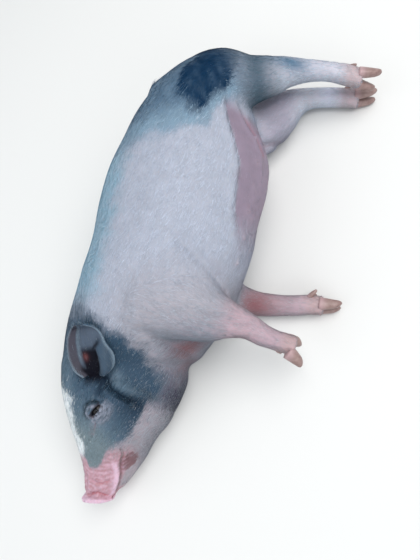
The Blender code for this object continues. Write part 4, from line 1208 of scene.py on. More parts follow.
def ring_faces(rows, sides):
    """Quads between rings of points, and triangles from the end rings to two points after them."""
    index = np.arange(rows * sides).reshape(rows, sides)
    after = np.roll(index, -1, axis=1)
    faces = np.stack([index[:-1], after[:-1], after[1:], index[1:]], 2).reshape(-1, 4)
    ends = np.full(sides, rows * sides)
    caps = np.concatenate([np.stack([after[0], index[0], ends], 1),
                           np.stack([index[-1], after[-1], ends + 1], 1)])
    return faces, caps


def tube_mesh(stations, base, sides, per_station, inset=0.0, tip=1.0):
    """Oval rings along a path, closed by a dome at each end."""
    rows = curve_rows(stations, per_station)
    rows[:, 3:5] -= inset
    tangent = unit(np.gradient(rows[:, :3], axis=0))
    depth = unit(np.array(base, float) - tangent * (tangent @ np.array(base, float))[:, None])
    width = np.cross(depth, tangent)
    turn = np.linspace(0, 2 * math.pi, sides, endpoint=False)
    angles = np.radians([75, 55, 35, 15])
    size = rows[:, 3:5]
    middles = np.concatenate([
        rows[0, :3] - tangent[0] * (size[0].mean() * 0.5 * np.sin(angles))[:, None], rows[:, :3],
        rows[-1, :3] + tangent[-1] * (size[-1].mean() * tip * np.sin(angles[::-1]))[:, None]])
    scale = np.concatenate([np.cos(angles), np.ones(len(rows)), np.cos(angles[::-1])])
    pick = np.concatenate([np.zeros(4, int), np.arange(len(rows)), np.full(4, len(rows) - 1)])
    ring = (middles[:, None] + scale[:, None, None]
            * (size[pick, 0][:, None, None] * np.cos(turn)[None, :, None] * depth[pick][:, None]
               + size[pick, 1][:, None, None] * np.sin(turn)[None, :, None] * width[pick][:, None]))
    verts = np.concatenate([ring.reshape(-1, 3), middles[:1], middles[-1:]])
    return verts, *ring_faces(len(middles), sides)


def closed_object(name, verts, faces, caps=None):
    """An object from quads and end triangles, with its faces turned outwards."""
    data = bpy.data.meshes.new(name)
    lists = faces.tolist() + ([] if caps is None else caps.tolist())
    data.from_pydata(verts.tolist(), [], lists)
    mesh = bmesh.new()
    mesh.from_mesh(data)
    bmesh.ops.remove_doubles(mesh, verts=mesh.verts[:], dist=1e-4)
    bmesh.ops.recalc_face_normals(mesh, faces=mesh.faces[:])
    bmesh.ops.triangulate(mesh, faces=mesh.faces[:])
    mesh.to_mesh(data)
    mesh.free()
    made = bpy.data.objects.new(name, data)
    bpy.context.scene.collection.objects.link(made)
    return made


def read_mesh(data):
    """Points and triangles of a mesh as arrays."""
    verts = np.empty(len(data.vertices) * 3, np.float32)
    data.vertices.foreach_get("co", verts)
    data.calc_loop_triangles()
    tris = np.empty(len(data.loop_triangles) * 3, np.int32)
    data.loop_triangles.foreach_get("vertices", tris)
    return verts.reshape(-1, 3).astype(float), tris.reshape(-1, 3)


def face_zone(middle):
    """Edges on the head, where the skin's mesh is split once more."""
    return (middle[:, 1] < -4) & (middle[:, 0] < -190) & (middle[:, 2] > 22)


def fine_zone(middle):
    """Edges at the eyes and the snout's disc, where it is split a second time."""
    near = (middle[:, 1] < -172) & (middle[:, 1] > -200) & (middle[:, 2] > 10)
    for side, reach in ((1, 19), (-1, 15)):
        centre = eye_frame(side)[0]
        near |= ((middle - centre) ** 2).sum(1) < reach ** 2
    return near


def teat_zone(spots, reach):
    """A test for the edges within a reach of any teat."""
    def near(middle):
        out = np.zeros(len(middle), bool)
        for spot in spots:
            out |= ((middle - spot) ** 2).sum(1) < reach ** 2
        return out
    return near


def joined(base, others):
    """One closed mesh: the base with the others added by a Boolean union."""
    for other in others:
        join = base.modifiers.new("join", "BOOLEAN")
        join.operation = "UNION"
        join.solver = "MANIFOLD"
        join.object = other
        graph = bpy.context.evaluated_depsgraph_get()
        data = bpy.data.meshes.new_from_object(base.evaluated_get(graph))
        base.modifiers.clear()
        base.data = data
        bpy.data.objects.remove(other, do_unlink=True)
    return base


def build_skin(body):
    """The net around the field, refined where it shows, settled, with ears and tail joined on."""
    axes = grid_lines()
    shape = tuple(len(a) for a in axes)
    grid = np.stack(np.meshgrid(*axes, indexing="ij"), 3).reshape(-1, 3)
    values = body.distance(grid).reshape(shape)
    verts, quads = surface_net(values, axes)
    tris = np.concatenate([quads[:, [0, 1, 2]], quads[:, [0, 2, 3]]])
    verts, tris = refine(verts, tris, face_zone)
    verts, tris = refine(verts, tris, fine_zone)
    spots = [body.on_section(y, angle) for y, angle in TEATS]
    for reach in (9, 6):
        verts, tris = refine(verts, tris, teat_zone(spots, reach))
    verts = settle(body, verts)
    skin = mesh_object("skin", verts, tris)
    others = []
    for name in EARS:
        others.append(closed_object(name + "_leaf", *ear_mesh(body, name)))
    tail_verts, tail_faces, tail_caps = tube_mesh(TAIL, (0, 0, 1), 16, 8, COAT_DEPTH)
    tail_verts[:, 2] = np.maximum(tail_verts[:, 2], FLOOR_CLEAR)
    others.append(closed_object("tail_skin", tail_verts, tail_faces, tail_caps))
    return joined(skin, others)


# Coat

def surface_facts(body, p, n):
    """Where each point lies: its chain, its place along and around it, and the lie of the coat."""
    angle = body.spine.angle(p)
    rolls = np.radians(np.interp(p[:, 1], body.spine.rows[:, 1], body.spine.rows[:, 5]))
    zero = np.zeros(len(p))
    back = np.stack([-np.cos(rolls), zero, np.sin(rolls)], 1)
    flank = np.stack([np.sin(rolls), zero, np.cos(rolls)], 1)
    turn = np.radians(angle)[:, None]
    down = np.sign(turn) * (-np.sin(turn) * back + np.cos(turn) * flank)
    lean = 0.55 * np.abs(np.sin(turn))
    lie = np.array([0, 1.0, 0]) + lean * down
    arc = body.chart(p)[1]
    run = p[:, 1] * 0.88 + arc * 0.47
    side = arc * 0.88 - p[:, 1] * 0.47
    chart = np.stack([0.02 + 0.60 * (angle + 180) / 360, 0.02 + 0.96 * (p[:, 1] + 205) / 670], 1)
    spine_d = body.spine.distance(p)
    leg_weight = np.zeros(len(p))
    for number, leg in enumerate(body.legs.values()):
        d = leg.distance(p)
        weight = smooth_step(4, -4, d - spine_d) * smooth_step(16, 6, d)
        i = leg.nearest(p)
        away = p - leg.middle[i]
        around = np.arctan2((away * leg.width[i]).sum(1), (away * leg.depth[i]).sum(1))
        better = weight > leg_weight
        leg_weight = np.maximum(weight, leg_weight)
        w = weight[:, None]
        lie = np.where(w > 0, lie * (1 - w) + leg.tangent[i] * w, lie)
        run = np.where(weight > 0.5, leg.along[i] + 700 * (number + 1), run)
        side = np.where(weight > 0.5, around * leg.half[i].mean(1), side)
        chart = np.where((better & (weight > 0.5))[:, None], np.stack(
            [0.66 + 0.30 * (around / (2 * math.pi) + 0.5),
             0.02 + number * 0.24 + 0.20 * leg.along[i] / leg.along[-1]], 1), chart)
    on_ear, which, _, _, _, _ = ear_place(body, p)
    ear_runs = np.array([unit(e[1]) for e in EARS.values()])
    lie = lie * (1 - on_ear[:, None]) + ear_runs[which] * on_ear[:, None]
    lie = lie - n * (lie * n).sum(1)[:, None]
    return unit(lie), run, side, chart, on_ear


def coat_zone(p, m, on_ear):
    """Shares of each kind of hair at each point."""
    y = p[:, 1]
    head = smooth_step(30, -30, y)
    zones = {"trunk": 1 - head, "head": head}
    for name, weight in (("face", smooth_step(-20, -70, y)), ("bare", m["bare"] * (1 - m["leg"])),
                         ("muzzle", smooth_step(-118, -150, y)), ("leg", m["leg"]), ("foot", m["foot"]),
                         ("ear", on_ear)):
        for key in zones:
            zones[key] = zones[key] * (1 - weight)
        zones[name] = weight
    return zones


def mixed(zones, column):
    """A column of the hair rules, weighted by the shares of the zones."""
    return sum(HAIR_RULES[name][column] * weight for name, weight in zones.items())


def hair_density(body, middle, up, m):
    """Tufts for each square millimetre of skin, fewer where it faces the floor."""
    on_ear, _, share, t, above, cupped = ear_place(body, middle)
    density = mixed(coat_zone(middle, m, on_ear), 2) * (1 - cupped)
    ridge = bell(t + 0.45 - 0.10 * share, 0.07)
    margin = smooth_step(0.78, 0.95, np.abs(t)) + smooth_step(0.8, 0.95, share)
    inner = np.clip(0.12 + 2.4 * ridge * smooth_step(0.2, 0.35, share) + 1.2 * margin, 0, 2.4)
    density = np.where((on_ear > 0) & (above > 0), density * inner, density)
    for centre, look, run, rise in body.eyes:
        away = middle - centre
        s, u = away @ run, away @ rise
        close = (away @ look > 0) & (np.abs(s) < 11.5) & (np.abs(u) < 6)
        density = np.where(close, density * 0.02, density)
    density *= smooth_step(-178, -172, middle[:, 1])
    density *= np.where(middle[:, 2] < 2.0, 0.1, 1.0) * (0.35 + 0.65 * smooth_step(-0.75, -0.2, up))
    for ty, angle in TEATS:
        density *= np.where(np.linalg.norm(middle - body.on_section(ty, angle), axis=1) < 5, 0, 1)
    return density


def sample_skin(body, skin, total, rng):
    """Places drawn by area times density, with normals smoothed across each triangle."""
    verts, tris = read_mesh(skin.data)
    verts = verts / MM + OUTLINE_CENTRE
    a, b, c = verts[tris[:, 0]], verts[tris[:, 1]], verts[tris[:, 2]]
    cross = np.cross(b - a, c - a)
    area = 0.5 * np.linalg.norm(cross, axis=1)
    middle = (a + b + c) / 3
    up = unit(cross + [0, 0, 1e-9])[:, 2]
    weight = area * hair_density(body, middle, up, masks(body, middle))
    pick = rng.choice(len(tris), total, p=weight / weight.sum())
    r1, r2 = np.sqrt(rng.random(total)), rng.random(total)
    share = np.stack([1 - r1, r1 * (1 - r2), r1 * r2], 1)
    smooth = vertex_normals(verts, tris)
    root = sum(share[:, k, None] * verts[tris[pick, k]] for k in range(3))
    n = unit(sum(share[:, k, None] * smooth[tris[pick, k]] for k in range(3)))
    return root, n


def hair_colour(body, root, n, lie, on_ear, rng):
    """Colour of the hair at each root, and its markings.

    Off the ears the colour is read a random step away, so that the edges of the markings are ragged."""
    total = len(root)
    colour, m = skin_colour(body, root, True)
    stray = (1 + 0.9 * smooth_step(30, -30, root[:, 1]) * smooth_step(-125, -90, root[:, 1]))[:, None]
    strayed = root + stray * (lie * rng.normal(0, 5.0, (total, 1))
                              + np.cross(n, lie) * rng.normal(0, 4.0, (total, 1)))
    stray_colour, _ = skin_colour(body, strayed - n * body.distance(strayed)[:, None], True)
    return np.where((on_ear < 0.5)[:, None], stray_colour, colour), m


def tuft_ways(root, n, lie, rng):
    """The way of each tuft and the way across it, swung by noise and lifted off the skin."""
    across = np.cross(n, lie)
    swing = rng.normal(0, 8, len(root)) + 10 * ripple(root, 34, 11) + 6 * ripple(root, 12, 12)
    swing = np.radians(swing)[:, None]
    way = lie * np.cos(swing) + across * np.sin(swing)
    side = across * np.cos(swing) - lie * np.sin(swing)
    lift = np.radians(np.clip(rng.normal(10, 4, len(root)), 4, 24))[:, None]
    return way * np.cos(lift) + n * np.sin(lift), side


def grow_coat(body, skin, total):
    """Bristles as slivers with three sides, in tufts rooted in the skin along the lie of the coat.

    Each tuft's tip is its root plus its direction times its length, lifted off the skin by a small
    angle. Its bristles stand around the root and lean together toward the tip."""
    rng = np.random.default_rng(SEED)
    root, n = sample_skin(body, skin, total, rng)
    lie, _, _, chart, on_ear = surface_facts(body, root, n)
    colour, m = hair_colour(body, root, n, lie, on_ear, rng)
    zones = coat_zone(root, m, on_ear)
    length = mixed(zones, 0) * rng.uniform(0.75, 1.25, total)
    width = mixed(zones, 1)
    way, side = tuft_ways(root, n, lie, rng)
    each = np.repeat(np.arange(total), HAIRS_IN_TUFT)
    count = len(each)
    turn = rng.uniform(0, 2 * math.pi, count)
    reach = np.sqrt(rng.random(count)) * (0.15 * length[each] + 0.3)
    offset = (side[each] * (np.cos(turn) * reach * 0.55)[:, None]
              + lie[each] * (np.sin(turn) * reach * 2)[:, None])
    pale = pale_share(m, root, body.spine.angle(root), on_ear)[each] > rng.random(count)
    long = length[each] * rng.uniform(0.6, 1.15, count) * np.where(pale, 1.25 + 0.6 * m["head"][each], 1)
    start = root[each] + offset - n[each] * 0.5
    loose = rng.normal(0, 0.055, (count, 3)) * long[:, None]
    tip = start - offset * rng.uniform(0.0, 0.8, count)[:, None] + way[each] * long[:, None] + loose
    low = tip[:, 2] < 0.5
    tip[low, 2] = 0.5 + 0.4 * rng.random(low.sum())
    start[:, 2] = np.maximum(start[:, 2], 0.3)
    axis = unit(tip - start)
    wide = unit(side[each] - axis * (side[each] * axis).sum(1)[:, None])
    up = np.cross(axis, wide)
    up = np.where((up * n[each]).sum(1)[:, None] < 0, -up, up)
    half = (0.5 * width[each] * rng.uniform(0.75, 1.25, count) * np.where(pale, 0.5, 1))[:, None]
    points = np.stack([start - wide * half, start + wide * half, start + up * half * 0.9, tip], 1)
    vary = 0.16 + 0.26 * m["head"] * (1 - m["muzzle"])
    shade = (rng.uniform(0.86, 1.12, total)[each] * (1 + vary[each] * rng.uniform(-1, 1, count)))[:, None]
    tones = colour[each] * shade
    fine = 1 - 0.45 * (zones["face"] + zones["muzzle"])[each]
    pale_tones = np.array(PALE_HAIR) * (fine * rng.uniform(0.3, 0.78, count))[:, None]
    tones = np.where(pale[:, None], pale_tones, tones)
    tones = np.stack([np.clip(tones * 0.78, 0.003, 0.9)] * 3 + [np.clip(tones * 1.10, 0.003, 0.96)], 1)
    chart = chart[each][:, None, :] + TUFT_PATCH[None]
    return coat_objects(points, tones, chart, coat_piece(root, m, on_ear)[each])


def coat_objects(points, tones, chart, number):
    """Objects from bristles with four points each: one or more for each numbered piece of the coat."""
    made = []
    for k, word in enumerate(COAT_PIECES):
        chosen = np.flatnonzero(number == k)
        groups = np.array_split(chosen, max(1, math.ceil(len(chosen) / HAIRS_IN_OBJECT)))
        for turn, part in enumerate(groups):
            if not len(part):
                continue
            first = np.arange(len(part))[:, None] * 4
            faces = np.concatenate([first + [corners] for corners in HAIR_FACES])
            name = "coat_" + word + ("" if turn == 0 else "_{}".format(turn + 1))
            piece = mesh_object(name, to_frame(points[part].reshape(-1, 3)), faces, smooth=False)
            set_colour(piece, "marking", tones[part].reshape(-1, 3))
            layer = piece.data.uv_layers.new(name="OFBake")
            uv = chart[part].reshape(-1, 2)[faces.ravel()]
            layer.uv.foreach_set("vector", uv.astype(np.float32).ravel())
            made.append(piece)
    return made


def pale_share(m, p, angle, on_ear):
    """How many of the bristles are pale where the coat is dark."""
    rump = m["rump"] * (1 - m["leg"])
    jowl = smooth_step(78, 112, np.abs(angle)) * smooth_step(-90, -50, p[:, 1])
    cheek = smooth_step(-40, -80, p[:, 1]) * smooth_step(45, 70, np.abs(angle))
    share = (0.06 + 0.40 * jowl + 0.10 * cheek) * m["grey"] * (1 + on_ear) + 0.42 * m["head"] * m["throat"]
    share = share + rump * (0.12 - 0.115 * m["core"]) + 0.25 * m["back"] * (1 - m["head"]) * (1 - m["rump"])
    return share


def coat_piece(p, m, on_ear):
    """The number of the piece that each tuft belongs to."""
    y = p[:, 1]
    legs = m["leg"] > 0.5
    parts = [on_ear > 0.5, legs & (y < 250), legs, y < -60, y < 20, y < 100, y < 170, y < 240, y < 310]
    return np.select(parts, list(range(len(parts))), len(parts))


# Eyes and claws

def eye_mesh(side):
    """A ball whose front bulges a little, on a grid of rings around the look."""
    centre, look, run, rise = eye_frame(side)
    polar = np.linspace(0, math.pi, 33)[:, None]
    around = np.linspace(0, 2 * math.pi, 48, endpoint=False)[None, :]
    radius = EYE_RADIUS * (0.985 + 0.03 * np.exp(-(polar / 0.55) ** 4))
    outward = np.cos(around)[..., None] * run + np.sin(around)[..., None] * rise
    points = centre + radius[..., None] * (np.cos(polar)[..., None] * look
                                           + np.sin(polar)[..., None] * outward)
    rows, sides = points.shape[:2]
    faces = ring_faces(rows, sides)[0][:, [0, 3, 2, 1]]
    value = np.broadcast_to(polar / math.pi, (rows, sides)).ravel()
    return points.reshape(-1, 3), faces, value


def claw_mesh(name, side):
    """Rings along a claw's bent middle line: flat below, rounded in front, closed by a blunt tip."""
    end, toes, across, length, spread, sole, width = FEET[name]
    end = np.array(end, float)
    toes = unit(toes)
    across = unit(np.array(across) - toes * np.dot(toes, across))
    front = np.cross(toes, across)
    if front.dot(sole) > 0:
        front = -front
    aim = unit(toes + across * side * spread)
    start = end + across * side * (width + CLAW_GAP) - toes * 3.0
    profile = np.array(CLAW_PROFILE)
    tip = 1 - 0.07 * np.cos(np.linspace(0, math.pi / 2, 6))[1:]
    share = np.concatenate([np.linspace(0, 0.93, 14), tip])
    size = np.interp(share, profile[:, 0], profile[:, 1])
    size = size * np.sqrt(np.clip(1 - np.clip((share - 0.80) / 0.202, 0, 1) ** 2, 0.0004, 1))
    drop = np.interp(share, profile[:, 0], profile[:, 2])
    turn = np.linspace(0, 2 * math.pi, 28, endpoint=False)
    ct, st = np.cos(turn), np.sin(turn)
    u = np.sign(ct) * np.abs(ct) ** CLAW_SQUARENESS
    v = np.sign(st) * np.abs(st) ** CLAW_SQUARENESS
    h = (CLAW_HEIGHT - 0.8) * size
    w = (width - 0.5) * (0.35 + 0.65 * size) * np.where(size < 0.3, size / 0.3, 1)
    middle = start + aim * (share * (length + 4.5))[:, None] - front * drop[:, None]
    cross_way = np.cross(front, aim)
    ring = (middle[:, None] + front * (h[:, None] * u)[..., None] + cross_way * (w[:, None] * v)[..., None])
    verts = np.concatenate([ring.reshape(-1, 3), middle[:1], middle[-1:]])
    verts[:, 2] = np.maximum(verts[:, 2], CLAW_CLEAR)
    return verts, *ring_faces(*ring.shape[:2])


def growth_share(data, name):
    """How far each point of a claw lies from the skin: 0 there, and 1 from nearly half way to the tip."""
    placed, _ = read_mesh(data)
    along = (placed / MM + OUTLINE_CENTRE) @ unit(FEET[name][1])
    return smooth_step(0.02, 0.45, (along - along.min()) / np.ptp(along))


def dewclaw_mesh(name, side):
    """A small blunt cone behind the foot."""
    end, toes, across, length, spread, sole, width = FEET[name]
    toes = unit(toes)
    across = unit(np.array(across) - toes * np.dot(toes, across))
    behind = unit(sole)
    start = np.array(end) - toes * 17 + across * side * 7 + behind * 7
    aim = unit(behind * 0.85 + toes * 0.75 + across * side * 0.15)
    rows = [(*(start + aim * (k * 4.6)), r, r, 0) for k, r in enumerate((4.0, 4.0, 3.3, 1.9))]
    verts, faces, caps = tube_mesh(rows, across, 16, 4, 0.0, 0.7)
    verts[:, 2] = np.maximum(verts[:, 2], CLAW_CLEAR)
    return verts, faces, caps


# Finishes

def feed(tree, node, inputs):
    """Fills a node's inputs by name: a socket is linked, and anything else is the start value."""
    for name, value in inputs.items():
        if isinstance(value, bpy.types.NodeSocket):
            tree.links.new(value, node.inputs[name])
        else:
            node.inputs[name].default_value = value
    return node


def add_node(tree, kind, inputs=None, **settings):
    """A new node with its settings made and its inputs filled."""
    node = tree.nodes.new("ShaderNode" + kind)
    for name, value in settings.items():
        setattr(node, name, value)
    return feed(tree, node, inputs or {})


def attribute(tree, name, output):
    """What a mesh stores at its points under a name."""
    return add_node(tree, "Attribute", attribute_name=name).outputs[output]


def arithmetic(tree, operation, a, b):
    """The result of an operation on two sockets or numbers."""
    node = tree.nodes.new("ShaderNodeMath")
    node.operation = operation
    for socket, value in zip(node.inputs, (a, b)):
        if isinstance(value, float):
            socket.default_value = value
        else:
            tree.links.new(value, socket)
    return node.outputs[0]


def noise(tree, vector, scale, detail, rough=0.5):
    """Cloudy noise from 0 to 1."""
    return add_node(tree, "TexNoise", {"Scale": scale, "Detail": detail, "Roughness": rough,
                                       "Vector": vector}).outputs["Fac"]


def new_material(name, roughness):
    """A material with its node tree and its shader."""
    made = bpy.data.materials.new(name)
    made.use_nodes = True
    shader = made.node_tree.nodes["Principled BSDF"]
    shader.inputs["Roughness"].default_value = roughness
    return made, made.node_tree, shader


def add_bump(tree, shader, height, strength, distance):
    """Tilts the shader's normal by the slope of a height."""
    bump = add_node(tree, "Bump", {"Strength": strength, "Distance": distance, "Height": height})
    feed(tree, shader, {"Normal": bump.outputs["Normal"]})


def add_gloss(tree, shader, colour, factor, limit):
    """Makes the gloss the colour times a factor, up to a limit, so that dark parts stay dark."""
    gloss = arithmetic(tree, "MULTIPLY", colour, factor)
    feed(tree, shader, {"Specular IOR Level": arithmetic(tree, "MINIMUM", gloss, limit)})


def hide_group():
    """Fine pores, pimples and the lie of short hair, as a height and a mottling mask.

    The height is 0.35 of the pores, 0.25 of fine noise and 0.8 of noise that is drawn out along
    the hair; the last part is weighted by how furred the skin is."""
    group = bpy.data.node_groups.new("hide_relief", "ShaderNodeTree")
    for word, kind in (("Place", "NodeSocketVector"), ("Lie", "NodeSocketVector")):
        group.interface.new_socket(word, in_out="INPUT", socket_type=kind)
    scale = group.interface.new_socket("Pore Scale", in_out="INPUT", socket_type="NodeSocketFloat")
    scale.default_value = 420.0
    for word in ("Height", "Mottle"):
        group.interface.new_socket(word, in_out="OUTPUT", socket_type="NodeSocketFloat")
    given = group.nodes.new("NodeGroupInput").outputs
    place, lie = given["Place"], given["Lie"]
    pores = add_node(group, "TexVoronoi", {"Vector": place, "Scale": given["Pore Scale"]})
    fine = noise(group, place, 900.0, 3.0)
    stretch = add_node(group, "Mapping", {"Scale": (90.0, 1100.0, 0.0), "Vector": lie})
    furred = add_node(group, "SeparateXYZ", {"Vector": lie}).outputs["Z"]
    streak = arithmetic(group, "MULTIPLY", noise(group, stretch.outputs["Vector"], 1.0, 2.0), furred)
    height = arithmetic(group, "ADD", arithmetic(group, "MULTIPLY", pores.outputs["Distance"], 0.35),
                        arithmetic(group, "MULTIPLY", fine, 0.25))
    height = arithmetic(group, "ADD", height, arithmetic(group, "MULTIPLY", streak, 0.8))
    feed(group, group.nodes.new("NodeGroupOutput"),
         {"Height": height, "Mottle": noise(group, place, 55.0, 4.0, 0.6)})
    return group


def skin_material(relief):
    """The hide: its markings, mottled, with the relief as a bump and a little light let through."""
    made, tree, shader = new_material("hide", 0.55)
    colour = attribute(tree, "marking", "Color")
    group = add_node(tree, "Group", {"Place": add_node(tree, "TexCoord").outputs["Object"],
                                     "Lie": attribute(tree, "lie", "Vector")}, node_tree=relief)
    mottle = add_node(tree, "MapRange", {"To Min": 0.80, "To Max": 1.16, "Value": group.outputs["Mottle"]})
    mix = add_node(tree, "Mix", {"Factor": 1.0, "A": colour, "B": mottle.outputs["Result"]},
                   data_type="RGBA", blend_type="MULTIPLY")
    feed(tree, shader, {"Base Color": mix.outputs["Result"], "Subsurface Weight": 0.10,
                        "Subsurface Radius": (0.004, 0.0018, 0.0012), "Subsurface Scale": 1.0})
    add_gloss(tree, shader, colour, 3.5, 0.32)
    add_bump(tree, shader, group.outputs["Height"], 0.5, 0.0006)
    return made


def hair_material():
    """The bristles: their own colours with little gloss."""
    made, tree, shader = new_material("bristle", 0.6)
    colour = attribute(tree, "marking", "Color")
    feed(tree, shader, {"Base Color": colour})
    add_gloss(tree, shader, colour, 0.8, 0.15)
    return made


def horn_material(tint):
    """The claws: cloudy horn around a mean colour, pinker toward the skin."""
    made, tree, shader = new_material("horn", 0.42)
    place = add_node(tree, "TexCoord").outputs["Object"]
    ramp = add_node(tree, "ValToRGB", {"Fac": noise(tree, place, 160.0, 4.0, 0.6)})
    dark, light = ramp.color_ramp.elements
    dark.position, light.position = 0.3, 0.72
    dark.color = (tint[0] * 0.74, tint[1] * 0.66, tint[2] * 0.66, 1)
    light.color = (min(tint[0] * 1.25, 1), min(tint[1] * 1.3, 1), min(tint[2] * 1.3, 1), 1)
    mix = add_node(tree, "Mix", {"A": (0.42, 0.28, 0.29, 1), "Factor": attribute(tree, "growth", "Fac"),
                                 "B": ramp.outputs["Color"]}, data_type="RGBA")
    feed(tree, shader, {"Base Color": mix.outputs["Result"]})
    add_bump(tree, shader, noise(tree, place, 700.0, 3.0), 0.35, 0.0004)
    return made


def eye_material():
    """The eyeballs: a black pupil, a dark iris and a white painted nearly black as shade of the lids, by the
    place between look and back.
    """
    made, tree, shader = new_material("eyeball", 0.3)
    ramp = add_node(tree, "ValToRGB", {"Fac": attribute(tree, "ring", "Fac")})
    stops = ramp.color_ramp.elements
    stops[0].position, stops[0].color = EYE_RINGS[0]
    stops[1].position, stops[1].color = EYE_RINGS[-1]
    for position, colour in EYE_RINGS[1:-1]:
        stops.new(position).color = colour
    feed(tree, shader, {"Base Color": ramp.outputs["Color"], "Specular IOR Level": 0.15,
                        "Coat Weight": 0.15, "Coat Roughness": 0.05})
    return made


def plain_material(name, colour, roughness):
    """One colour and one roughness."""
    made, tree, shader = new_material(name, roughness)
    feed(tree, shader, {"Base Color": (*colour, 1)})
    return made


# The add-on

class PigLooks(bpy.types.PropertyGroup):
    tufts: bpy.props.IntProperty(name="Tufts", description="How many tufts the coat has",
                                 default=118000, min=1000)
    horn_tint: bpy.props.FloatVectorProperty(name="Horn", description="Mean colour of the claws",
                                             subtype="COLOR", default=(0.27, 0.18, 0.165))


class StageLooks(bpy.types.PropertyGroup):
    floor_tint: bpy.props.FloatVectorProperty(name="Floor", description="Colour of the floor",
                                              subtype="COLOR", default=(0.72, 0.72, 0.71))
    floor_size: bpy.props.FloatProperty(name="Floor size", description="Side of the floor",
                                        subtype="DISTANCE", unit="LENGTH", default=8.0)
    camera_height: bpy.props.FloatProperty(name="Camera height", description="Height of the camera",
                                           subtype="DISTANCE", unit="LENGTH", default=0.64)


shared = {}


def get_body():
    """The one field that all pieces are made from."""
    if "body" not in shared:
        shared["body"] = Body()
    return shared["body"]


class PIG_OT_skin(bpy.types.Operator):
    """Makes the one skin of head, trunk, legs, ears and tail"""
    bl_idname = "pig.skin"
    bl_label = "Skin"

    def execute(self, context):
        body = get_body()
        skin = build_skin(body)
        verts, tris = read_mesh(skin.data)
        n = vertex_normals(verts, tris)
        colour, _ = skin_colour(body, verts, False)
        _, run, side, _, _ = surface_facts(body, verts, n)
        set_colour(skin, "marking", colour)
        furred = smooth_step(-152, -128, verts[:, 1])
        set_values(skin, "lie", np.stack([run * MM, side * MM, furred], 1))
        flat = to_frame(verts).astype(np.float32)
        skin.data.vertices.foreach_set("co", flat.ravel())
        skin.data.update()
        skin.data.materials.clear()
        skin.data.materials.append(skin_material(hide_group()))
        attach(skin, "root")
        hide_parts(*FLESH)
        shared["skin"] = skin
        return {"FINISHED"}


class PIG_OT_coat(bpy.types.Operator):
    """Grows the bristles on the skin"""
    bl_idname = "pig.coat"
    bl_label = "Coat"

    def execute(self, context):
        look = context.scene.pig_looks
        made = hair_material()
        for piece in grow_coat(get_body(), shared["skin"], look.tufts):
            piece.data.materials.append(made)
            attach(piece, "root")
        return {"FINISHED"}


class PIG_OT_eyes(bpy.types.Operator):
    """Makes the eyeballs"""
    bl_idname = "pig.eyes"
    bl_label = "Eyes"

    def execute(self, context):
        wet = eye_material()
        for side, word in ((1, "left"), (-1, "right")):
            verts, faces, value = eye_mesh(side)
            ball = mesh_object("eyeball_" + word, to_frame(verts), faces)
            set_values(ball, "ring", value)
            ball.data.materials.append(wet)
            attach(ball, "root")
            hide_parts("eye_" + word)
        return {"FINISHED"}


class PIG_OT_claws(bpy.types.Operator):
    """Makes the claws and dewclaws of the four feet"""
    bl_idname = "pig.claws"
    bl_label = "Claws"

    def execute(self, context):
        horn = horn_material(context.scene.pig_looks.horn_tint)
        for foot in FEET:
            for side, word in ((1, "outer"), (-1, "inner")):
                for kind, shape in (("claw", claw_mesh), ("dewclaw", dewclaw_mesh)):
                    verts, faces, caps = shape(foot, side)
                    node = "{}_{}_{}".format(foot, kind, word)
                    piece = closed_object(node + "_horn", to_frame(verts), faces, caps)
                    piece.data.polygons.foreach_set("use_smooth", np.ones(len(piece.data.polygons), bool))
                    set_values(piece, "growth", growth_share(piece.data, foot))
                    piece.data.materials.append(horn)
                    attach(piece, "root")
                    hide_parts(node)
        return {"FINISHED"}


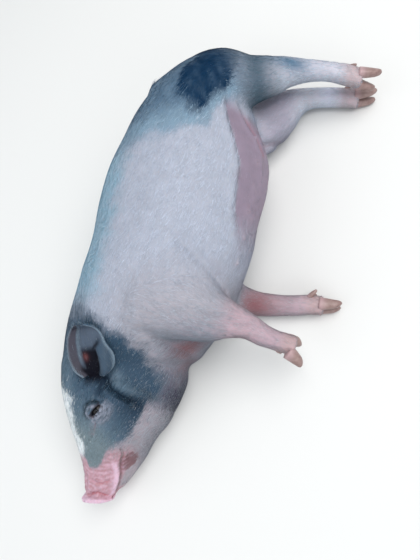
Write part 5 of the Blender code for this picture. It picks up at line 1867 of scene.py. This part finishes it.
class PIG_OT_stage(bpy.types.Operator):
    """Makes the floor, the lights and the camera"""
    bl_idname = "pig.stage"
    bl_label = "Stage"

    def execute(self, context):
        look = context.scene.stage_looks
        half = look.floor_size / 2
        corners = np.array([(-half, -half, 0), (half, -half, 0), (half, half, 0), (-half, half, 0)])
        floor = mesh_object("floor", corners, np.array([[0, 1, 2, 3]]), smooth=False)
        floor.data.materials.append(plain_material("pale_floor", look.floor_tint, 0.8))
        world = bpy.data.worlds.new("studio")
        context.scene.world = world
        world.use_nodes = True
        sky = world.node_tree.nodes["Background"]
        feed(world.node_tree, sky, {"Color": SKY_COLOUR, "Strength": SKY_STRENGTH})
        context.scene.view_settings.view_transform = "Standard"
        for name, place, size, power, colour in LIGHTS:
            light = bpy.data.lights.new(name, "AREA")
            light.size = size
            light.energy = power
            light.color = colour
            lamp = bpy.data.objects.new(name, light)
            lamp.location = place
            lamp.rotation_euler = (-Vector(place)).to_track_quat("-Z", "Y").to_euler()
            context.scene.collection.objects.link(lamp)
        camera = bpy.data.cameras.new("photo_view")
        camera.lens = CAMERA_LENS
        camera.sensor_width = CAMERA_SENSOR
        camera.sensor_fit = "AUTO"
        camera.clip_start = 0.01
        eye = bpy.data.objects.new("photo_view", camera)
        place = Vector((-OUTLINE_CENTRE[0] * MM, -OUTLINE_CENTRE[1] * MM, look.camera_height))
        eye.matrix_world = Matrix.Translation(place) @ Matrix(CAMERA_TURN).to_4x4()
        context.scene.collection.objects.link(eye)
        context.scene.camera = eye
        return {"FINISHED"}


class PIG_PT_panel(bpy.types.Panel):
    """Buttons for each group of pieces"""
    bl_label = "Miniature pig"
    bl_space_type = "VIEW_3D"
    bl_region_type = "UI"
    bl_category = "Pig"

    def draw(self, context):
        for operator in OPERATORS:
            self.layout.operator(operator.bl_idname)
        for name in ("tufts", "horn_tint"):
            self.layout.prop(context.scene.pig_looks, name)
        for name in ("floor_tint", "floor_size", "camera_height"):
            self.layout.prop(context.scene.stage_looks, name)


OPERATORS = (PIG_OT_skin, PIG_OT_eyes, PIG_OT_claws, PIG_OT_coat, PIG_OT_stage)
CLASSES = (PigLooks, StageLooks, PIG_PT_panel) + OPERATORS


def register():
    """Adds the classes and the settings to Blender."""
    for item in CLASSES:
        bpy.utils.register_class(item)
    bpy.types.Scene.pig_looks = bpy.props.PointerProperty(type=PigLooks)
    bpy.types.Scene.stage_looks = bpy.props.PointerProperty(type=StageLooks)


def unregister():
    """Takes them out again."""
    del bpy.types.Scene.pig_looks, bpy.types.Scene.stage_looks
    for item in reversed(CLASSES):
        bpy.utils.unregister_class(item)


def main():
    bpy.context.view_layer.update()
    register()
    bpy.ops.pig.skin()
    bpy.ops.pig.eyes()
    bpy.ops.pig.claws()
    bpy.ops.pig.coat()
    bpy.ops.pig.stage()


if __name__ == "__main__":
    main()
